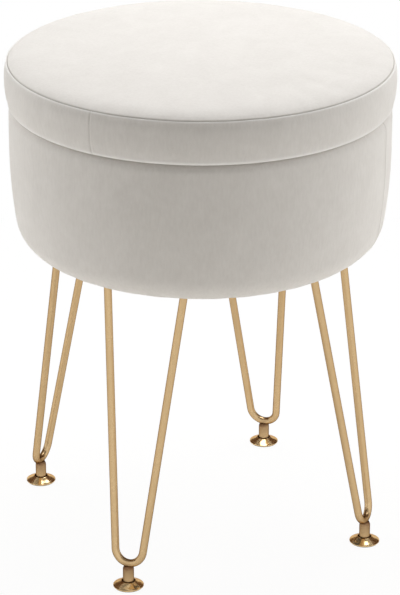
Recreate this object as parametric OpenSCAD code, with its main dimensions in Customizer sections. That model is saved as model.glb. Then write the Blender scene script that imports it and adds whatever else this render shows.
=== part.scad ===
// Round storage ottoman: a padded drum with a lift-off lid on four hairpin legs.
// The origin is on the floor, under the centre of the drum, with +Z up.

/* [Overall] */
// Height of the drum's underside above the floor
underside_h = 274.7; // [230:0.1:330]
// Height of the covered drum, from its underside to its rim
drum_h = 132.4; // [120:0.1:170]
// Outer radius of the covered drum wall
drum_r = 171.7; // [162:0.1:190]
// How far the lid reaches past the drum wall at its widest
lid_overhang = 3.3; // [1:0.1:6]

/* [Drum form] */
// Radius of the round lower edge of the drum
corner_arc_r = 30.5; // [27:0.1:34]
// Radius of the slow curve that leads from the straight wall into the lower edge
belly_arc_r = 455; // [350:1:580]
// Angle through which the slow curve turns
belly_turn = 8.5; // [6:0.01:11]
// Rounding of the rim on its outer side
rim_round_r = 8; // [5:0.1:12]
// Rounding of the rim on the mouth side
mouth_round_r = 4; // [3:0.1:6]

/* [Drum construction] */
// Thickness of the padding on the wall
wall_pad_t = 20; // [17:0.1:24]
// Thickness of the padding on top of the tube
rim_pad_t = 3.4; // [3:0.1:6]
// Wall thickness of the board tube
tube_t = 7; // [5:0.1:9]
// Thickness of the floor board
floor_t = 15; // [13:0.1:18]
// Height of the rebate on the floor board that the tube stands in
floor_rebate_h = 7.5; // [5:0.1:9]
// Radius of the routed lower edge of the floor board
floor_edge_r = 15; // [12:0.1:16]
// Thickness of the lining cloth
lining_t = 0.8; // [0.6:0.1:1.2]
// Thickness of the covered card on the floor
mat_t = 2; // [1:0.1:4]
// Thickness of the dust cloth
dust_cloth_t = 0.6; // [0.4:0.1:1]

/* [Covering] */
// Thickness of the velvet
cover_t = 1.2; // [0.8:0.1:1.8]
// Width of the velvet that is turned under the drum
hem_w = 27.5; // [18:0.1:32]
// Length of the velvet that is turned down inside the mouth
flap_h = 30; // [22:0.5:40]
// Depth of the sewn seams
seam_depth = 0.8; // [0.3:0.1:1]
// Width of the sewn seams
seam_w = 1.6; // [1:0.1:2.4]
// Direction of the upright seam of the drum
drum_seam_angle = 4.4; // [-180:0.1:180]
// Direction of the upright seam of the lid
lid_seam_angle = -100; // [-180:0.1:180]

/* [Lid] */
// Height of the lid from its underside to the seam of the top panel
lid_band_h = 40.3; // [34:0.1:52]
// Height of the crown above that seam
lid_crown_h = 8.4; // [4:0.1:16]
// How far the side draws in from its widest place to the seam
lid_seam_inset = 3; // [2:0.1:6]
// How far the side draws in from its widest place to the lower edge
lid_foot_inset = 4.5; // [2:0.1:6]
// Radius of the rolled lower edge
lid_roll_r = 2.5; // [2:0.1:4]
// Thickness of the lid board
lid_board_t = 12; // [9:0.1:16]
// Thickness of the locating disc under the lid
disc_t = 12; // [8:0.1:16]
// Gap between the locating disc and the lined mouth, all round
disc_gap = 2.2; // [1:0.1:4]
// Gap between the underside of the lid and the rim
lid_seat_gap = 0.3; // [0.2:0.1:1]

/* [Legs] */
// Diameter of the leg rod
rod_d = 7; // [5:0.1:9]
// Radius of the bend, measured to the middle of the rod
bend_r = 13.5; // [11:0.1:18]
// Outward lean of the leg
leg_lean = 9.43; // [4:0.01:12]
// Angle between each side of the V and its middle line
leg_spread = 5.47; // [4:0.01:7]
// Distance from the drum wall to the middle of the rod under the plate
leg_inset = 47.7; // [45:0.1:60]
// Thickness of the leg plate
plate_t = 2.5; // [2:0.1:4]
// Width of the leg plate, measured towards the centre of the drum
plate_w = 40; // [34:0.1:48]
// Metal between the rod's middle and the outer edge of the plate
plate_lip = 4.8; // [4.5:0.1:8]
// Metal between the rod's middle and the end of the plate
plate_end = 6; // [5:0.1:9]
// Corner radius of the leg plate
plate_corner_r = 10; // [4:0.1:12]

/* [Feet] */
// Radius of the levelling foot at its rim
foot_r = 13.8; // [12:0.1:18]
// Thickness of the foot's rim
foot_rim_t = 1.1; // [0.8:0.1:2]
// Radius of the foot's neck
neck_r = 5.75; // [5.5:0.05:6.5]
// Height of the neck above the rim
neck_h = 3.9; // [3:0.1:4.5]
// Visible thickness of the base pad
pad_t = 0.8; // [0.6:0.1:2]
// Radius of the threaded barrel
barrel_r = 5; // [4.6:0.1:5.2]
// Length of the threaded barrel
barrel_l = 15.2; // [13:0.1:22]
// Nominal radius of the thread
thread_r = 3; // [2.5:0.1:3.5]

/* [Fasteners] */
// Spacing of the plate holes along the plate
hole_pitch_long = 40; // [30:0.5:48]
// Spacing of the plate holes across the plate
hole_pitch_wide = 18; // [14:0.5:22]
// Radius of the leg screws
screw_r = 2.5; // [2:0.1:3]
// Radius of the screw heads
screw_head_r = 4.75; // [4:0.05:5.5]
// Height of the screw heads
screw_head_h = 3; // [2:0.1:4]
// Thickness of the washers
washer_t = 1; // [0.6:0.1:1.6]
// Outer radius of the insert nuts
nut_r = 4; // [3.6:0.1:5]
// Length of the insert nuts
nut_l = 12; // [8:0.1:12.5]
// Number of screws in the locating disc
disc_screw_count = 6; // [3:1:10]
// Number of staples in each row
staple_count = 24; // [12:1:36]
// Number of nails in the tube
nail_count = 16; // [8:1:24]

/* [Hidden] */
$fn = 96;

// Directions of the four legs, and the first word of their names
leg_names = ["front", "right", "back", "left"];
leg_angles = [-90, 0, 90, 180];

// Clearances and the overrun of all cuts
overrun = 5;
swivel_gap = 0.1;
thread_gap = 0.05;
stop_gap = 0.3;
hole_gap = 0.25;
weld_gap = 0.05;
// The straight sides of the leg are a hair thinner than the bend that they run into
draw_gap = 0.02;
bend_lap = 0.3;
pilot_gap = 0.05;

// Steps along the curved outlines
corner_steps = 18;
belly_steps = 8;
rim_steps = 6;
band_steps = 12;
crown_steps = 14;
roll_steps = 5;
flare_steps = 6;

// Levels of the drum
rim_z = underside_h + drum_h;
floor_z = underside_h + cover_t;
floor_top_z = floor_z + floor_t;
tube_z = floor_top_z - floor_rebate_h;
tube_top_z = rim_z - cover_t - rim_pad_t;
flap_z = rim_z - flap_h;
lining_step_h = 3;
lining_drop = 12;
lining_top_z = rim_z - lining_drop;
plate_top_z = underside_h - dust_cloth_t;
plate_z = plate_top_z - plate_t;

// Radii of the drum, from the wall inwards
tube_r = drum_r - cover_t - wall_pad_t;
tube_in_r = tube_r - tube_t;
mouth_r = tube_in_r - cover_t;
lined_mouth_r = mouth_r - lining_t;
lined_wall_r = tube_in_r - lining_t;

// Centres of the drum's two arcs, which meet on one tangent
corner_c = [
    drum_r - belly_arc_r * (1 - cos(belly_turn)) - corner_arc_r * cos(belly_turn),
    underside_h + corner_arc_r
];
belly_c = [
    drum_r - belly_arc_r,
    corner_c[1] + (belly_arc_r - corner_arc_r) * sin(belly_turn)
];

// Angle on the round lower edge where the drum's upright seam starts
seam_start_angle = -60;

// The padding starts at this step of the lower edge, on the cover and on the floor board
foam_toe_step = 4;

// Flat part of the floor board, which ends just inside the round lower edge
floor_flat_margin = 0.5;
floor_flat_r = corner_c[0] - floor_flat_margin;
floor_arc_c = [floor_flat_r, floor_z + floor_edge_r];
ledge_turn = asin((floor_edge_r - (floor_t - floor_rebate_h)) / floor_edge_r);
floor_fit_gap = 0.1;
hem_r = corner_c[0] - hem_w;
cloth_margin = 3.5;
cloth_r = corner_c[0] - cloth_margin;
cloth_step = 2;
mat_gap = 0.4;
mat_r = lined_wall_r - mat_gap;

// Levels and radii of the lid
lid_z = rim_z + lid_seat_gap;
lid_r = drum_r + lid_overhang;
seam_z = lid_z + lid_band_h;
seam_r = lid_r - lid_seam_inset;
widest_share = 0.692;
widest_z = lid_z + widest_share * lid_band_h;
upper_bulge_power = 2.3;
lower_bulge_power = 2.8;
shoulder_share = 0.7;
shoulder_w = 9;
dome_power = 2;
roll_lean = 20;
lid_board_z = lid_z + cover_t;
roll_start_z = lid_z + lid_roll_r * (1 - sin(roll_lean));
roll_c = [band_r(roll_start_z) - lid_roll_r * cos(roll_lean), lid_z + lid_roll_r];
lid_board_margin = 0.8;
lid_board_r = roll_c[0] - lid_board_margin;
lid_lining_t = 0.6;
lid_lining_r = lined_mouth_r - disc_gap;
disc_r = lid_lining_r - lid_lining_t;
disc_z = lid_board_z - disc_t;
disc_edge_r = 2;
lid_hem_gap = 3;
lid_hem_r = lid_lining_r + lid_hem_gap;

// The foot, from the floor up
foot_z = pad_t + swivel_gap;
foot_rim_z = foot_z + foot_rim_t;
neck_z = foot_rim_z + neck_h;
neck_recess_h = 0.6;
neck_seat_z = neck_z - neck_recess_h;
barrel_z = neck_seat_z + stop_gap;
barrel_top_z = barrel_z + barrel_l;
barrel_saddle_h = 1.3;
barrel_roof_t = 3.1;
barrel_chamfer = 1.5;
barrel_mouth_chamfer = 0.4;
bore_spare = 0.6;
bore_top_z = barrel_top_z - barrel_roof_t;
stud_top_z = bore_top_z - bore_spare;
stud_chamfer = 0.6;
recess_rim_w = 1.8;
recess_h = 0.7;
recess_r = foot_r - recess_rim_w;
pad_r = foot_r - recess_rim_w / 2;
pad_plug_r = recess_r - swivel_gap;
pad_plug_z = foot_z + recess_h - swivel_gap;
pad_stem_r = 1.9;
pad_stem_l = 2.7;
pad_stem_bore_r = pad_stem_r + swivel_gap;
pad_stem_bore_z = pad_plug_z + pad_stem_l + stop_gap;
flare_dip = 0.5;

// The leg: the middle of its bend sits in the barrel's saddle, and its sides end at the plate
bend_h = barrel_top_z - barrel_saddle_h + rod_d / 2;
leg_top_r = drum_r - leg_inset;
foot_circle_r = leg_top_r + (plate_z - bend_h) * tan(leg_lean);
rod_top_u = (plate_z - bend_h) / cos(leg_lean);
bend_end_u = bend_r * (1 - sin(leg_spread));
rod_top_s = bend_r * cos(leg_spread) + (rod_top_u - bend_end_u) * tan(leg_spread);
rod_l = (rod_top_u - bend_end_u) / cos(leg_spread);
rod_weld_w = 1.2;
plate_l = 2 * (rod_top_s + plate_end);
plate_r = leg_top_r + plate_lip - plate_w / 2;

// Small sizes of the fasteners
screw_l = 14;
screw_hex_r = 1.6;
screw_hex_h = 1.6;
head_round_r = 1;
washer_r = 5.5;
disc_screw_r = 2;
disc_screw_l = 20;
disc_screw_head_r = 4;
disc_screw_head_h = 2.2;
disc_screw_circle_share = 0.74;
staple_w = 10;
staple_l = 7;
staple_wire = 0.7;
rim_staple_l = 5.5;
rim_staple_drop = 8;
hem_staple_inset = 8.5;
cloth_staple_inset = 2.2;
nail_r = 0.8;
nail_l = 16;
nail_head_r = 1.6;
nail_head_h = 0.5;

// Points on an arc round c, from one angle to another
function arc(c, r, from, to, steps) = [
    for (i = [0:steps])
        let (a = from + (to - from) * i / steps)
        [c[0] + r * cos(a), c[1] + r * sin(a)]
];

function backwards(points) = [for (i = [len(points) - 1:-1:0]) points[i]];

function from_step(points, first) = [for (i = [first:len(points) - 1]) points[i]];

// Wall of the drum from an angle on the lower edge up to the rim, at a depth under the surface
function wall_outline(depth, from = -90) = concat(
    arc(corner_c, corner_arc_r - depth, from, -belly_turn, corner_steps),
    arc(belly_c, belly_arc_r - depth, -belly_turn * (1 - 1 / belly_steps), 0, belly_steps - 1),
    arc([drum_r - rim_round_r, rim_z - rim_round_r], rim_round_r - depth, 0, 90, rim_steps)
);

// Routed lower edge of the floor board, from its flat underside up to the tube's ledge
function floor_edge_outline() = arc(floor_arc_c, floor_edge_r, -90, -ledge_turn, rim_steps);

// The rim on the mouth side, at a depth under the surface
function mouth_outline(depth) = arc(
    [mouth_r + mouth_round_r, rim_z - mouth_round_r], mouth_round_r - depth, 90, 180, rim_steps
);

// Radius of the lid's side at a height
function band_r(z) =
    z < widest_z
    ? lid_r - lid_foot_inset * pow((widest_z - z) / (widest_z - lid_z), lower_bulge_power)
    : lid_r - lid_seam_inset * pow((z - widest_z) / (seam_z - widest_z), upper_bulge_power);

// Height of the crown at a radius: a round shoulder at the seam and a low dome
function crown_z(r) =
    seam_z
    + lid_crown_h * shoulder_share * (1 - exp((r - seam_r) / shoulder_w))
    + lid_crown_h * (1 - shoulder_share) * (1 - pow(r / seam_r, dome_power));

// Side of the lid from just under the seam down round the rolled edge, at a depth
function band_outline(depth, top_z) = concat(
    [
        for (i = [0:band_steps - 1])
            let (z = top_z + (roll_start_z - top_z) * i / band_steps)
            [band_r(z) - depth, z]
    ],
    arc(roll_c, lid_roll_r - depth, -roll_lean, -90, roll_steps)
);

// Crown of the lid from a radius to the middle, at a depth
function crown_outline(depth, edge_r) = [
    for (i = [0:crown_steps])
        let (r = edge_r * (1 - pow(i / crown_steps, 2)))
        [r, crown_z(r) - depth]
];

// Root of the seam round the top panel, on the surface and on the foam
seam_root = [seam_r - seam_depth, seam_z];
seam_foam = [band_r(seam_z - cover_t) - cover_t, seam_z - cover_t];

module velvet() color([0.90, 0.89, 0.87]) children();
module foam() color([0.94, 0.90, 0.70]) children();
module board() color([0.78, 0.62, 0.42]) children();
module cloth() color([0.30, 0.30, 0.31]) children();
module gold() color([0.80, 0.63, 0.42]) children();
module steel() color([0.70, 0.71, 0.72]) children();

// Copies at equal angles
module ring_of(count, r, first = 0) {
    for (i = [0:count - 1])
        rotate([0, 0, first + 360 * i / count])
            translate([r, 0, 0])
                children();
}

// An upright seam channel in a turned cover, cut down to a depth
module upright_seam(angle, surface, root) {
    rotate([0, 0, angle - asin(seam_w / (2 * drum_r))])
        rotate_extrude(angle = 2 * asin(seam_w / (2 * drum_r)))
            polygon(concat(surface, backwards(root)));
}

module lid_top_panel() velvet()
    rotate_extrude()
        polygon(concat(
            [seam_foam, seam_root],
            crown_outline(0, seam_r - seam_w / 2),
            backwards(crown_outline(cover_t, seam_foam[0] - cover_t))
        ));

module lid_band() velvet()
    difference() {
        rotate_extrude()
            polygon(concat(
                [seam_root],
                band_outline(0, seam_z - seam_w / 2),
                [[lid_hem_r, lid_z], [lid_hem_r, lid_board_z]],
                backwards(band_outline(cover_t, seam_z - cover_t))
            ));
        upright_seam(
            lid_seam_angle,
            band_outline(-overrun, seam_z + overrun),
            band_outline(seam_depth, seam_z + overrun)
        );
    }

module lid_foam() foam()
    rotate_extrude()
        polygon(concat(
            [
                [0, lid_board_z + lid_board_t],
                [lid_board_r, lid_board_z + lid_board_t],
                [lid_board_r, lid_board_z]
            ],
            backwards(band_outline(cover_t, seam_z - cover_t)),
            crown_outline(cover_t, seam_foam[0] - cover_t)
        ));

module lid_board() board()
    difference() {
        translate([0, 0, lid_board_z])
            cylinder(r = lid_board_r, h = lid_board_t);
        ring_of(disc_screw_count, disc_screw_circle_share * disc_r)
            translate([0, 0, lid_board_z - overrun])
                cylinder(
                    r = disc_screw_r + pilot_gap,
                    h = overrun + disc_z + disc_screw_l + pilot_gap - lid_board_z
                );
    }

module disc_screw(gap = 0) {
    translate([0, 0, disc_z])
        rotate_extrude()
            polygon([
                [0, gap > 0 ? -overrun : 0],
                [disc_screw_head_r + gap, gap > 0 ? -overrun : 0],
                [disc_screw_head_r + gap, 0],
                [disc_screw_r + gap, disc_screw_head_h],
                [disc_screw_r + gap, disc_screw_l - disc_screw_r],
                [0, disc_screw_l]
            ]);
}

module lid_locating_disc() board()
    difference() {
        translate([0, 0, disc_z])
            rotate_extrude()
                polygon(concat(
                    [[0, 0]],
                    arc([disc_r - disc_edge_r, disc_edge_r], disc_edge_r, -90, 0, roll_steps),
                    [[disc_r, disc_t], [0, disc_t]]
                ));
        ring_of(disc_screw_count, disc_screw_circle_share * disc_r)
            disc_screw(pilot_gap);
    }

module lid_lining() cloth()
    translate([0, 0, disc_z])
        rotate_extrude()
            polygon(concat(
                [[0, 0], [0, -lid_lining_t]],
                arc([disc_r - disc_edge_r, disc_edge_r], disc_edge_r + lid_lining_t, -90, 0, roll_steps),
                [[lid_lining_r, disc_t], [disc_r, disc_t]],
                arc([disc_r - disc_edge_r, disc_edge_r], disc_edge_r, 0, -90, roll_steps)
            ));

module lid_screws() steel()
    ring_of(disc_screw_count, disc_screw_circle_share * disc_r)
        disc_screw();

// A staple with its crown across X, flush with Z zero, and its legs along +Z
module staple(l) {
    translate([-staple_wire / 2, -staple_w / 2, 0])
        cube([staple_wire, staple_w, staple_wire]);
    for (side = [-1, 1])
        translate([-staple_wire / 2, side * (staple_w - staple_wire) / 2 - staple_wire / 2, 0])
            cube([staple_wire, staple_wire, l]);
}

module lid_staples() steel()
    ring_of(staple_count, (lid_hem_r + roll_c[0]) / 2)
        translate([0, 0, lid_z])
            staple(staple_l);

module drum_cover() velvet()
    difference() {
        rotate_extrude()
            polygon(concat(
                [[hem_r, floor_z], [hem_r, underside_h]],
                wall_outline(0),
                mouth_outline(0),
                [[mouth_r, flap_z], [tube_in_r, flap_z]],
                backwards(mouth_outline(cover_t)),
                backwards(wall_outline(cover_t))
            ));
        upright_seam(
            drum_seam_angle,
            wall_outline(-overrun, seam_start_angle),
            wall_outline(seam_depth, seam_start_angle)
        );
        ring_of_plate_holes(underside_h - overrun, overrun + cover_t + overrun, screw_r + hole_gap);
    }

module drum_foam() foam()
    rotate_extrude()
        polygon(concat(
            from_step(wall_outline(cover_t), foam_toe_step),
            mouth_outline(cover_t),
            [[tube_in_r, tube_top_z], [tube_r, tube_top_z], [tube_r, tube_z]],
            backwards(from_step(floor_edge_outline(), foam_toe_step))
        ));

module drum_tube() board()
    translate([0, 0, tube_z])
        rotate_extrude()
            translate([tube_in_r, 0])
                square([tube_t, tube_top_z - tube_z]);

module drum_floor() board()
    difference() {
        rotate_extrude()
            polygon(concat(
                [[0, floor_z]],
                floor_edge_outline(),
                [
                    [tube_in_r - floor_fit_gap, tube_z],
                    [tube_in_r - floor_fit_gap, floor_top_z],
                    [0, floor_top_z]
                ]
            ));
        ring_of_plate_holes(floor_z - overrun, overrun + nut_l, nut_r);
    }

module drum_lining() cloth()
    rotate_extrude()
        polygon([
            [lined_wall_r, floor_top_z],
            [tube_in_r, floor_top_z],
            [tube_in_r, flap_z - lining_step_h],
            [mouth_r, flap_z],
            [mouth_r, lining_top_z],
            [lined_mouth_r, lining_top_z],
            [lined_mouth_r, flap_z],
            [lined_wall_r, flap_z - lining_step_h]
        ]);

module floor_mat() cloth()
    translate([0, 0, floor_top_z])
        cylinder(r = mat_r, h = mat_t);

module dust_cloth() cloth()
    difference() {
        rotate_extrude()
            polygon([
                [0, floor_z],
                [0, floor_z - dust_cloth_t],
                [hem_r - cloth_step, floor_z - dust_cloth_t],
                [hem_r, plate_top_z],
                [cloth_r, plate_top_z],
                [cloth_r, underside_h],
                [hem_r, underside_h],
                [hem_r - cloth_step, floor_z]
            ]);
        ring_of_plate_holes(plate_top_z - overrun, overrun + cover_t + overrun, screw_r + hole_gap);
    }

module drum_staples() steel() {
    ring_of(staple_count, corner_c[0] - hem_staple_inset, 180 / staple_count)
        translate([0, 0, underside_h])
            staple(staple_l);
    ring_of(staple_count / 2, cloth_r - cloth_staple_inset)
        translate([0, 0, plate_top_z])
            staple(staple_l);
    ring_of(staple_count, mouth_r, 180 / staple_count)
        translate([0, 0, flap_z + rim_staple_drop])
            rotate([0, 90, 0])
                staple(rim_staple_l);
}

module tube_nails() steel()
    ring_of(nail_count, tube_r, 180 / nail_count)
        translate([0, 0, tube_z + floor_rebate_h / 2])
            rotate([0, -90, 0]) {
                cylinder(r = nail_r, h = nail_l);
                cylinder(r = nail_head_r, h = nail_head_h);
            }

// Centres of the four holes of each plate, in the leg's own direction
module at_plate_holes() {
    for (across = [-1, 1], along = [-1, 1])
        translate([plate_r + across * hole_pitch_wide / 2, along * hole_pitch_long / 2, 0])
            children();
}

module at_all_plate_holes() {
    for (angle = leg_angles)
        rotate([0, 0, angle])
            at_plate_holes()
                children();
}

module ring_of_plate_holes(z, h, r) {
    at_all_plate_holes()
        translate([0, 0, z])
            cylinder(r = r, h = h);
}

module insert_nuts() steel()
    at_all_plate_holes()
        translate([0, 0, floor_z])
            difference() {
                cylinder(r = nut_r, h = nut_l);
                translate([0, 0, -overrun])
                    cylinder(r = screw_r + thread_gap, h = nut_l + 2 * overrun);
            }

module leg_screws() gold()
    at_all_plate_holes()
        translate([0, 0, plate_z - washer_t])
            difference() {
                rotate_extrude()
                    polygon(concat(
                        [[0, screw_l], [0, -screw_head_h]],
                        arc(
                            [screw_head_r - head_round_r, head_round_r - screw_head_h],
                            head_round_r, -90, 0, roll_steps
                        ),
                        [
                            [screw_head_r, 0],
                            [screw_r, 0],
                            [screw_r, screw_l - screw_r / 2],
                            [screw_r / 2, screw_l]
                        ]
                    ));
                translate([0, 0, -screw_head_h - overrun])
                    cylinder(r = screw_hex_r, h = overrun + screw_hex_h, $fn = 6);
            }

module leg_washers() steel()
    at_all_plate_holes()
        translate([0, 0, plate_z - washer_t])
            difference() {
                cylinder(r = washer_r, h = washer_t);
                translate([0, 0, -overrun])
                    cylinder(r = screw_r + hole_gap, h = washer_t + 2 * overrun);
            }

module leg_plate() gold()
    difference() {
        translate([plate_r, 0, plate_z])
            linear_extrude(plate_t)
                rounded_rectangle(plate_w, plate_l, plate_corner_r);
        at_plate_holes()
            translate([0, 0, plate_z - overrun])
                cylinder(r = screw_r + hole_gap, h = plate_t + 2 * overrun);
    }

module rounded_rectangle(w, l, corner_r) {
    square([w - 2 * corner_r, l], center = true);
    square([w, l - 2 * corner_r], center = true);
    for (x = [-1, 1], y = [-1, 1])
        translate([x * (w / 2 - corner_r), y * (l / 2 - corner_r)])
            circle(r = corner_r);
}

// The plane of the hairpin, with its origin in the middle of the bend
module in_leg_plane() {
    translate([foot_circle_r, 0, bend_h])
        rotate([0, -leg_lean, 0])
            rotate([90, 0, 90])
                children();
}

module bend(r) {
    translate([0, bend_r, 0])
        rotate_extrude(angle = 180 - 2 * leg_spread, start = 180 + leg_spread)
            translate([bend_r, 0])
                circle(r = r);
}

// One straight side of the hairpin, with the flare of the weld at its top
module leg_side(r) {
    translate([0, 0, -bend_lap])
        cylinder(r = r, h = bend_lap + rod_l + rod_d);
    translate([0, 0, rod_l - rod_weld_w])
        cylinder(r1 = r, r2 = r + 2 * rod_weld_w, h = 2 * rod_weld_w);
}

module leg_rod() gold()
    difference() {
        in_leg_plane() {
            bend(rod_d / 2);
            for (side = [-1, 1])
                translate([side * bend_r * cos(leg_spread), bend_end_u, 0])
                    rotate([-90, 0, -side * leg_spread])
                        leg_side(rod_d / 2 - draw_gap);
        }
        translate([0, -plate_l, plate_z])
            cube([2 * foot_circle_r, 2 * plate_l, 2 * rod_d]);
    }

module foot_socket() gold()
    difference() {
        translate([foot_circle_r, 0, 0])
            rotate_extrude()
                polygon([
                    [thread_r + thread_gap + barrel_mouth_chamfer, barrel_z],
                    [barrel_r, barrel_z],
                    [barrel_r, barrel_top_z - barrel_chamfer],
                    [barrel_r - barrel_chamfer, barrel_top_z],
                    [0, barrel_top_z],
                    [0, bore_top_z],
                    [thread_r + thread_gap, bore_top_z],
                    [thread_r + thread_gap, barrel_z + barrel_mouth_chamfer]
                ]);
        in_leg_plane()
            bend(rod_d / 2 + weld_gap);
    }

// Flared side of the foot, drawn in a little between rim and neck
function flare_outline() = [
    for (i = [0:flare_steps])
        let (f = i / flare_steps)
        [
            foot_r + (neck_r - foot_r) * f - flare_dip * sin(180 * f),
            foot_rim_z + neck_h * f
        ]
];

module foot() gold()
    translate([foot_circle_r, 0, 0])
        rotate_extrude()
            polygon(concat(
                [
                    [0, pad_stem_bore_z],
                    [pad_stem_bore_r, pad_stem_bore_z],
                    [pad_stem_bore_r, foot_z + recess_h],
                    [recess_r, foot_z + recess_h],
                    [recess_r, foot_z],
                    [foot_r, foot_z]
                ],
                flare_outline(),
                [
                    [barrel_r + swivel_gap, neck_z],
                    [barrel_r + swivel_gap, neck_seat_z],
                    [thread_r, neck_seat_z],
                    [thread_r, stud_top_z - stud_chamfer],
                    [thread_r - stud_chamfer, stud_top_z],
                    [0, stud_top_z]
                ]
            ));

module foot_pad() color([0.16, 0.15, 0.15])
    translate([foot_circle_r, 0, 0])
        rotate_extrude()
            polygon([
                [0, 0],
                [pad_r, 0],
                [pad_r, pad_t],
                [pad_plug_r, pad_t],
                [pad_plug_r, pad_plug_z],
                [pad_stem_r, pad_plug_z],
                [pad_stem_r, pad_plug_z + pad_stem_l],
                [0, pad_plug_z + pad_stem_l]
            ]);

lid_top_panel();
lid_band();
lid_foam();
lid_board();
lid_locating_disc();
lid_lining();
lid_screws();
lid_staples();
drum_cover();
drum_foam();
drum_tube();
drum_floor();
drum_lining();
floor_mat();
dust_cloth();
drum_staples();
tube_nails();
insert_nuts();
leg_screws();
leg_washers();
for (i = [0:len(leg_names) - 1]) rotate([0, 0, leg_angles[i]]) {
    leg_plate();
    leg_rod();
    foot_socket();
    foot();
    foot_pad();
}
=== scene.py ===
"""Looks of a round velvet storage ottoman on gold hairpin legs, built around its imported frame."""

import logging
import math
from collections.abc import Callable, Iterable, Sequence
from dataclasses import dataclass, field
from enum import Enum
from typing import Any

import bmesh
import bpy
from mathutils import Matrix, Vector, noise


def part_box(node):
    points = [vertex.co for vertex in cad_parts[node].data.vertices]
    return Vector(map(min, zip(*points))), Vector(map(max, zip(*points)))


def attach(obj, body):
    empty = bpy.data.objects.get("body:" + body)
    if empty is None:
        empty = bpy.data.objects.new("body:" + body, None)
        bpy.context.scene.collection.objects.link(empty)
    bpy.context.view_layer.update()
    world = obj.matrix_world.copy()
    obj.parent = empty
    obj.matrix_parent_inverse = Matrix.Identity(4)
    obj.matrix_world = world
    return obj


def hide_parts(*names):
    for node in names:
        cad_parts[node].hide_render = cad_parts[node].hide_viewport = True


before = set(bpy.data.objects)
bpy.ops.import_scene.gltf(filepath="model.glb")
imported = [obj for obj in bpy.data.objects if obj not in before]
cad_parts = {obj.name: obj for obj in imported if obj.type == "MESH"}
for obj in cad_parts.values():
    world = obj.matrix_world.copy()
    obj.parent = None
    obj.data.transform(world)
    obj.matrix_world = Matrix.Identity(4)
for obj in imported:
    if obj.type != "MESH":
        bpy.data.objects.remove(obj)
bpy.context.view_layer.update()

LOG = logging.getLogger("ottoman")
FULL_TURN = 2 * math.pi
MM = 0.001

Colour = tuple[float, float, float]
Outline = list[tuple[float, float]]


class Body(Enum):
    """The two large bodies. Each leg has two more, named after its side."""

    DRUM = "drum"
    LID = "lid"


@dataclass(frozen=True)
class Levels:
    """Heights and radii that the looks take from the CAD nodes, in metres."""

    underside: float
    rim: float
    drum_r: float
    lid_low: float
    seam_z: float
    lid_r: float
    crown_top: float
    board_low: float
    board_high: float
    board_r: float
    disc_low: float
    disc_r: float
    tube_r: float
    tube_in_r: float
    tube_low: float
    tube_high: float
    floor_low: float
    floor_top: float
    lining_top: float
    mat_r: float
    mat_top: float
    cloth_r: float
    cloth_low: float
    plate_low: float

    @classmethod
    def read(cls) -> "Levels":
        """Reads every level from the boxes of the CAD nodes.

        Returns:
            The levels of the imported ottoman.
        """
        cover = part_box("drum_cover")
        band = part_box("lid_band")
        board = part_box("lid_board")
        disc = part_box("lid_lining")
        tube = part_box("drum_tube")
        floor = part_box("drum_floor")
        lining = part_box("drum_lining")
        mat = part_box("floor_mat")
        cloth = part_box("dust_cloth")
        return cls(
            underside=cover[0].z,
            rim=cover[1].z,
            drum_r=cover[1].x,
            lid_low=band[0].z,
            seam_z=band[1].z,
            lid_r=band[1].x,
            crown_top=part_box("lid_top_panel")[1].z,
            board_low=board[0].z,
            board_high=board[1].z,
            board_r=board[1].x,
            disc_low=disc[0].z,
            disc_r=disc[1].x,
            tube_r=tube[1].x,
            tube_in_r=lining[1].x,
            tube_low=tube[0].z,
            tube_high=tube[1].z,
            floor_low=floor[0].z,
            floor_top=floor[1].z,
            lining_top=lining[1].z,
            mat_r=mat[1].x,
            mat_top=mat[1].z,
            cloth_r=cloth[1].x,
            cloth_low=cloth[0].z,
            plate_low=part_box("front_leg_plate")[0].z,
        )


def mix(low: float, high: float, share: float) -> float:
    """Returns the value at a share of the way from low to high."""
    return low + (high - low) * share


def ease(value: float, start: float, end: float) -> float:
    """Goes smoothly from 0 at start to 1 at end.

    Args:
        value: Where to read the curve.
        start: Value at which it is 0.
        end: Value at which it is 1.

    Returns:
        The smooth share.
    """
    share = min(1.0, max(0.0, (value - start) / (end - start)))
    return share * share * (3 - 2 * share)


def hump(distance: float, width: float) -> float:
    """Returns a bell that is 1 at no distance and fades over a width."""
    return math.exp(-((distance / width) ** 2))


def arc(centre: tuple[float, float], radius: float, start: float, end: float, steps: int) -> Outline:
    """Points on an arc in the plane of an outline.

    Args:
        centre: Radius and height of the arc's centre.
        radius: Radius of the arc.
        start: First angle, in degrees.
        end: Last angle, in degrees.
        steps: Number of pieces.

    Returns:
        The points from the first angle to the last.
    """
    angles = [math.radians(mix(start, end, i / steps)) for i in range(steps + 1)]
    return [(centre[0] + radius * math.cos(a), centre[1] + radius * math.sin(a)) for a in angles]


def line(start: tuple[float, float], end: tuple[float, float], steps: int) -> Outline:
    """Points on a straight stretch of an outline, with both ends.

    Args:
        start: First point.
        end: Last point.
        steps: Number of pieces.

    Returns:
        The points from start to end.
    """
    return [(mix(start[0], end[0], i / steps), mix(start[1], end[1], i / steps)) for i in range(steps + 1)]


def joined(*stretches: Outline) -> Outline:
    """Joins stretches of an outline and drops points that come twice."""
    points: Outline = []
    for point in (p for stretch in stretches for p in stretch):
        if not points or math.dist(points[-1], point) > 1e-6:
            points.append(point)
    return points


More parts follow.
